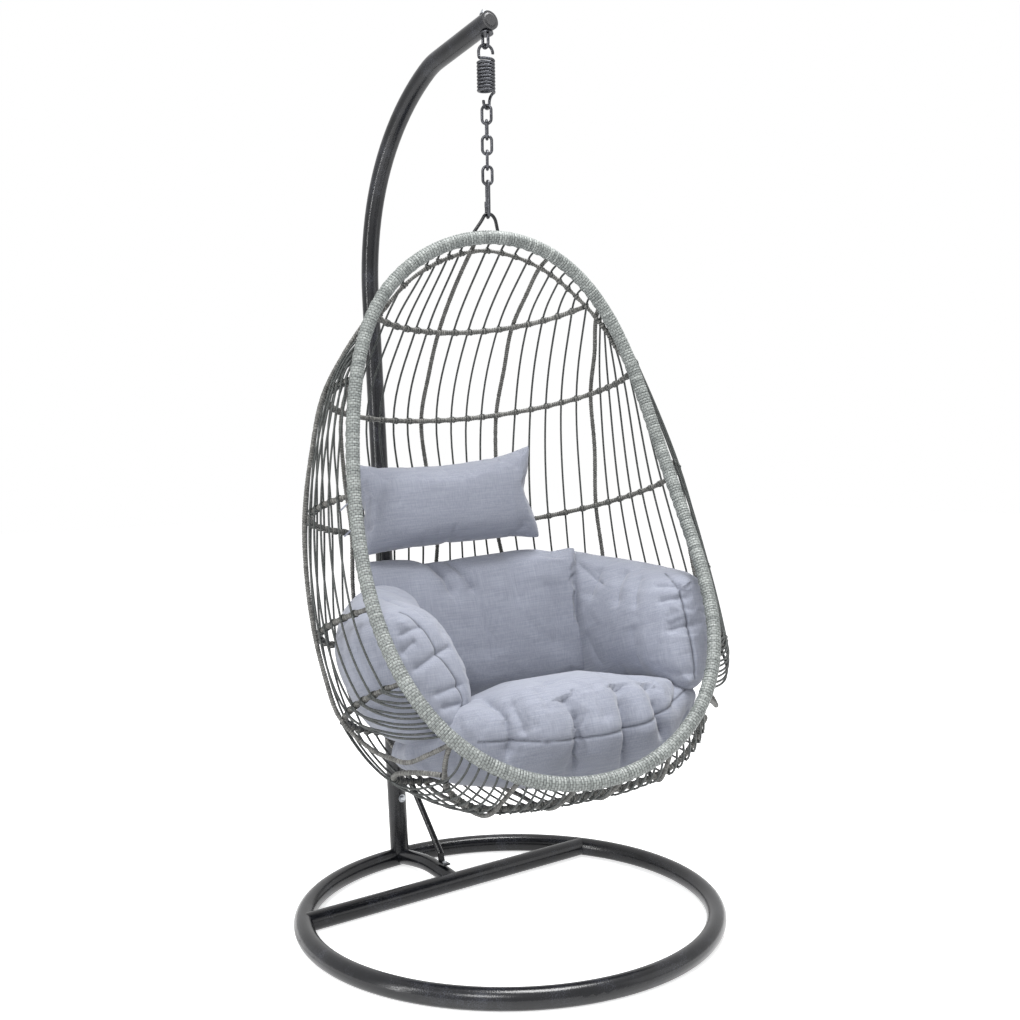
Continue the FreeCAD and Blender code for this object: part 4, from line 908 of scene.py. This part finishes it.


# After stuffing: pulls move the cloth by an arrow, folds press a valley along a line of spots,
# seams are narrow folds with painted shade along them; depth and width in millimetres, spots in the basket's
# axes
clothLook = {
    "head_pillow": {
        "pulls": (((124, -326, -502), (-14, 0, 0), 50), ((-300, -326, -502), (9, 0, 0), 52),
                  ((124, -300, -398), (4, 0, 4), 30), ((124, -350, -606), (2, 0, -4), 30),
                  ((-60, -340, -400), (0, 0, -5), 110)),
        "folds": ((6, 14, ((40, -300, -425), (90, -283, -450))),
                  (6, 14, ((45, -343, -600), (90, -325, -575))),
                  (4, 14, ((-275, -291, -415), (-225, -282, -460)))), "seams": ()},
    "back_cushion": {
        "pulls": (((205, -370, -625), (0, 0, -22), 85), ((-250, -380, -640), (0, 0, 9), 90)),
        "folds": ((17, 13, ((-142, -400, -618), (-119, -353, -665), (-106, -346, -725))),
                  (15, 13, ((-96, -398, -618), (-80, -360, -650), (-52, -350, -725))),
                  (11, 11, ((-172, -404, -620), (-136, -374, -640), (-116, -352, -672))),
                  (5, 20, ((38, -388, -626), (40, -345, -692), (52, -345, -770))),
                  (8, 28, ((-62, -350, -700), (-43, -350, -786), (-44, -365, -880))),
                  (9, 12, ((168, -395, -618), (150, -352, -672))),
                  (6, 24, ((120, -350, -700), (128, -352, -800), (118, -365, -890)))), "seams": ()},
    "arm_bolster_right": {
        "pulls": (((290, -120, -1010), (0, 4, -10), 60), ((200, -400, -660), (-4, 0, 12), 45)),
        "folds": ((8, 8, ((286, -140, -785), (345, -83, -826))),
                  (8, 8, ((276, -120, -831), (350, -83, -838))),
                  (8, 8, ((280, -102, -899), (355, -88, -899))),
                  (8, 9, ((255, -120, -985), (325, -89, -999))),
                  (11, 13, ((250, -300, -705), (200, -306, -780))),
                  (11, 13, ((286, -248, -722), (228, -230, -815))),
                  (9, 12, ((214, -350, -682), (234, -270, -760))),
                  (9, 12, ((296, -200, -750), (248, -178, -835))),
                  (6, 22, ((189, -330, -850), (200, -300, -950))),
                  (6, 22, ((262, -200, -870), (250, -190, -960)))),
        "seams": (((331, -149, -768), (325, -87, -821), (327, -89, -895), (324, -89, -958),
                   (317, -92, -1009)),)},
    "arm_bolster_left": {
        "pulls": (),
        "folds": ((9, 8, ((-312, -66, -905), (-240, -93, -872))),
                  (8, 8, ((-248, -92, -876), (-200, -116, -858))),
                  (8, 8, ((-282, -70, -960), (-198, -114, -943))),
                  (8, 8, ((-332, -64, -832), (-272, -86, -814))),
                  (8, 9, ((-332, -66, -868), (-292, -69, -844))),
                  (9, 12, ((-301, -240, -722), (-282, -124, -770))),
                  (9, 9, ((-268, -72, -988), (-208, -102, -982)))),
        "seams": (((-310, -97, -779), (-268, -88, -822), (-244, -91, -878), (-213, -104, -934),
                   (-206, -105, -977), (-218, -102, -1007)),)},
    "seat_cushion": {
        "pulls": (((300, -130, -1050), (6, 4, 20), 75), ((-230, -80, -1030), (0, 4, 8), 60),
                  ((150, -60, -1125), (4, 8, -14), 95)),
        "folds": ((26, 15, ((-160, -130, -976), (-150, -40, -1025), (-153, -27, -1077), (-166, -42, -1125))),
                  (13, 14, ((-124, -60, -990), (-118, -16, -1075))),
                  (30, 16, ((-42, -90, -978), (-5, -6, -1052), (-8, -8, -1093), (-15, -28, -1136),
                            (-11, -80, -1178))),
                  (34, 17, ((90, -125, -974), (109, -17, -1038), (106, -14, -1086), (100, -33, -1135),
                            (99, -84, -1176))),
                  (29, 14, ((168, -120, -996), (190, -41, -1049), (192, -43, -1092), (202, -66, -1135))),
                  (9, 13, ((-66, -55, -978), (-65, -11, -1040))),
                  (11, 13, ((46, -45, -990), (53, -5, -1075))),
                  (12, 13, ((292, -145, -1012), (240, -62, -1070))),
                  (-8, 34, ((-84, -25, -1000), (-83, -10, -1060), (-85, -25, -1110))),
                  (-8, 30, ((50, -30, -990), (50, -5, -1050), (48, -20, -1120))),
                  (-8, 28, ((148, -45, -1000), (150, -22, -1060), (150, -35, -1115)))),
        "seams": (((-213, -45, -1070), (-150, -26, -1077), (-12, -9, -1100), (102, -13, -1090),
                   (205, -43, -1067), (320, -136, -1047)),)},
}
# a seam's fold depth and width, and the width of the painted shade along it, in millimetres
seamSize = {"depth": 4.0, "width": 3.5, "shadeLine": 2.2}
# A fold takes in cloth that lies up to lift millimetres above or below its line. Its valley has a round
# bottom, and at the line's ends it runs out to a share of its depth
foldShape = {"lift": 25, "follow": 0.9, "bottom": 1.5, "ends": 0.25, "runOut": 5}


def lineDistance(spots, outward, line):
    # distance from each spot to a line of straight runs, measured in the cloth's own surface where the line
    # lies just above or below it, and the share of the line at the nearest place
    line = np.array(line, float)
    lengths = np.linalg.norm(np.diff(line, axis=0), axis=1)
    begun = np.concatenate([[0], np.cumsum(lengths)]) / lengths.sum()
    best, share = np.full(len(spots), np.inf), np.zeros(len(spots))
    for k, (start, end) in enumerate(zip(line, line[1:])):
        run = end - start
        part = np.clip((spots - start) @ run / (run @ run), 0, 1)
        away = spots - start - part[:, None] * run
        lift = (away * outward).sum(-1)
        lift = np.where(np.abs(lift) < foldShape["lift"], lift * foldShape["follow"], 0)
        apart = np.linalg.norm(away - outward * lift[:, None], axis=1)
        nearer = apart < best
        best = np.where(nearer, apart, best)
        share = np.where(nearer, begun[k] + part * (begun[k + 1] - begun[k]), share)
    return best, share


def creaseCloth(piece, look):
    # valley = depth x exp(-distance / width), or a bell where it swells; shallower at the line's ends;
    # pull = arrow x bell
    mesh = piece.data
    spots = (pointsOf(mesh).astype(float) * 1000 - np.array(basket["top"])) @ axes.T
    outward = np.empty(len(spots) * 3, np.float32)
    mesh.vertex_normals.foreach_get("vector", outward)
    outward = outward.reshape(-1, 3) @ axes.T
    move, shadeLine = np.zeros_like(spots), np.zeros(len(spots))
    for spot, arrow, width in look["pulls"]:
        bell = np.exp(-(np.linalg.norm(spots - np.array(spot), axis=1) / width) ** 2)
        move += bell[:, None] * np.array(arrow, float)
    folds = list(look["folds"]) + [(seamSize["depth"], seamSize["width"], line) for line in look["seams"]]
    bottom = foldShape["bottom"]
    for depth, width, line in folds:
        apart, share = lineDistance(spots, outward, line)
        fade = np.clip(np.minimum(share, 1 - share) * foldShape["runOut"] + foldShape["ends"], 0, 1)
        if depth < 0:
            valley = np.exp(-(apart / width) ** 2)
        else:
            valley = np.exp((bottom - np.hypot(apart, bottom)) / width)
        move -= outward * (depth * fade * valley)[:, None]
    # painted shade along each seam: strongest on its line, fading away from it
    for line in look["seams"]:
        apart = lineDistance(spots, outward, line)[0]
        shadeLine = np.maximum(shadeLine, np.exp(-(apart / seamSize["shadeLine"]) ** 2))
    mesh.vertices.foreach_set("co", toWorld(spots + move).astype(np.float32).ravel())
    mesh.attributes.new("seam_shade", "FLOAT", "POINT").data.foreach_set("value", shadeLine.astype(np.float32))
    mesh.update()


# The cloth's settings, and the frames that it swells for
clothFeel = {"quality": 6, "mass": 0.3, "tension_stiffness": 12, "compression_stiffness": 8,
             "bending_stiffness": 0.15, "use_pressure": True, "uniform_pressure_force": 4.0,
             "shrink_min": -0.03}
swellFrames = 20


def swellCloth(piece, cap):
    # the cloth swells under pressure, and no point moves further than the cap
    start = pointsOf(piece.data)
    cloth = piece.modifiers.new("stuffing", "CLOTH")
    for name, value in clothFeel.items():
        setattr(cloth.settings, name, value)
    cloth.settings.effector_weights.gravity = 0
    cloth.collision_settings.use_collision = False
    cloth.point_cache.frame_start = 1
    cloth.point_cache.frame_end = swellFrames
    for step in range(1, swellFrames + 1):
        bpy.context.scene.frame_set(step)
    applyModifiers(piece)
    move = pointsOf(piece.data) - start
    far = np.linalg.norm(move, axis=1, keepdims=True)
    move *= np.minimum(1, cap / 1000 / np.maximum(far, 1e-9))
    piece.data.vertices.foreach_set("co", (start + move).ravel())
    bpy.context.scene.frame_set(1)


def stuffCushion(name, form):
    # a skin over the outlines, made even, swollen as cloth, smoothed once and creased
    grid, columns = cushionGrid(form, outlineShape), outlineShape["columns"]
    marks = np.arange(len(grid)) * 1.0, np.arange(columns + 1) / columns
    piece = newObject(name + "_cloth", meshFromGrids(name + "_cloth", [(toWorld(grid), *marks, False)]))
    remesh = piece.modifiers.new("voxels", "REMESH")
    remesh.mode = "VOXEL"
    remesh.voxel_size = form["voxel"] / 1000
    applyModifiers(piece)
    swellCloth(piece, form["cap"])
    smooth = piece.modifiers.new("fine", "SUBSURF")
    smooth.levels = smooth.render_levels = 1
    applyModifiers(piece)
    creaseCloth(piece, clothLook[name])
    piece.data.shade_smooth()
    piece.data.materials.clear()
    piece.data.materials.append(finishes["cloth"])
    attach(piece, "basket")
    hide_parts(name)
    print(name, "stuffed,", len(piece.data.polygons), "faces")


for name, form in cushionForms.items():
    stuffCushion(name, form)

# The pillow's two ties: ends in the basket's axes, how far the second hangs below the first, and how they bow
tieLook = {"start": (-303, -318, -470), "end": (-345, -320, -500), "drops": (0, 60), "width": 3.6,
           "thick": 1.6, "rings": 9, "bow": 3.0}


def flatTie(look, drop):
    # a flat strap: a straight run of thin oblong outlines, bowed forward by half a sine wave
    start, end = (np.array(look[key], float) - (0, 0, drop) for key in ("start", "end"))
    rings = look["rings"]
    run = start + (end - start) * np.linspace(0, 1, rings)[:, None]
    run[:, 1] += look["bow"] * np.sin(np.linspace(0, np.pi, rings))
    heading = unit(end - start)
    side = unit(np.cross(heading, (0.0, 1.0, 0.0)))
    out = np.cross(side, heading)
    outline = ((-1, -1), (1, -1), (1, 1), (-1, 1))
    strap = np.stack([run + side * (a * look["width"] / 2) + out * (b * look["thick"] / 2)
                      for a, b in outline], 1)
    return toWorld(strap), np.arange(rings) * 1.0, np.arange(5) / 4, False


tieGrids = [flatTie(tieLook, drop) for drop in tieLook["drops"]]
addPiece("pillow_tie_cloth", tieGrids, "basket", finishes["cloth"], ["pillow_ties"])
print("cushions ready")

# Floor, light and sky: each lamp has its power, place and size; floorReach is half the floor's width
studio = {"key": (80.0, (-3.0, -2.2, 3.6), (1.2, 1.2)), "fill": (14.0, (2.4, -3.0, 1.6), (2.4, 2.4)),
          "top": (190.0, (0.4, -0.5, 4.3), (1.6, 1.6)), "strip": (50.0, (-3.5, 0.1, 1.5), (0.22, 3.2)),
          "aim": (0, 0, 0.9), "sky": 0.36, "floor": "#f4f4f4", "floorGlow": 0.72, "floorReach": 14}


def areaLamp(name, power, place, size):
    # an oblong lamp that faces the chair's middle
    lamp = bpy.data.lights.new(name, "AREA")
    lamp.energy = power
    lamp.shape = "RECTANGLE"
    lamp.size, lamp.size_y = size
    holder = newObject(name, lamp)
    holder.location = place
    holder.rotation_euler = (Vector(studio["aim"]) - Vector(place)).to_track_quat("-Z", "Y").to_euler()


for name in ("key", "fill", "top", "strip"):
    areaLamp(name, *studio[name])


def bareBackdrop(holder):
    # an empty node tree, and 1 where the camera, a reflection or clear glass looks straight at the backdrop
    holder.use_nodes = True
    holder.node_tree.nodes.clear()
    ray = addNode(holder, "ShaderNodeLightPath").outputs
    seen = addNode(holder, "ShaderNodeMath", {0: ray["Is Camera Ray"], 1: ray["Is Glossy Ray"]},
                   operation="MAXIMUM")
    seen = addNode(holder, "ShaderNodeMath", {0: seen.outputs[0], 1: ray["Is Transmission Ray"]},
                   operation="MAXIMUM")
    return seen.outputs[0]


def whiteSky():
    # plain white where it is looked at, and a dimmer white as light
    world = bpy.data.worlds.new("sky")
    bpy.context.scene.world = world
    seen = bareBackdrop(world)
    strength = addNode(world, "ShaderNodeMapRange", {"Value": seen, "To Min": studio["sky"], "To Max": 1.0})
    light = addNode(world, "ShaderNodeBackground", {"Color": (1, 1, 1, 1), "Strength": strength.outputs[0]})
    addNode(world, "ShaderNodeOutputWorld", {"Surface": light.outputs[0]})


def paleFloor():
    # painted floor: matt, with the background's white added where it is looked at
    material = bpy.data.materials.new("paintedFloor")
    seen = bareBackdrop(material)
    glow = addNode(material, "ShaderNodeMath", {0: seen, 1: studio["floorGlow"]}, operation="MULTIPLY")
    matte = addNode(material, "ShaderNodeBsdfDiffuse", {"Color": hexColour(studio["floor"])})
    light = addNode(material, "ShaderNodeEmission", {"Color": (1, 1, 1, 1), "Strength": glow.outputs[0]})
    both = addNode(material, "ShaderNodeAddShader", {0: matte.outputs[0], 1: light.outputs[0]})
    addNode(material, "ShaderNodeOutputMaterial", {"Surface": both.outputs[0]})
    reach = studio["floorReach"]
    mesh = bpy.data.meshes.new("floor")
    corners = [(x * reach, y * reach, 0) for x, y in ((-1, -1), (1, -1), (1, 1), (-1, 1))]
    mesh.from_pydata(corners, [], [(0, 1, 2, 3)])
    mesh.materials.append(material)
    newObject("floor", mesh)


whiteSky()
paleFloor()
bpy.context.scene.view_settings.view_transform = "Standard"

print("scene ready")
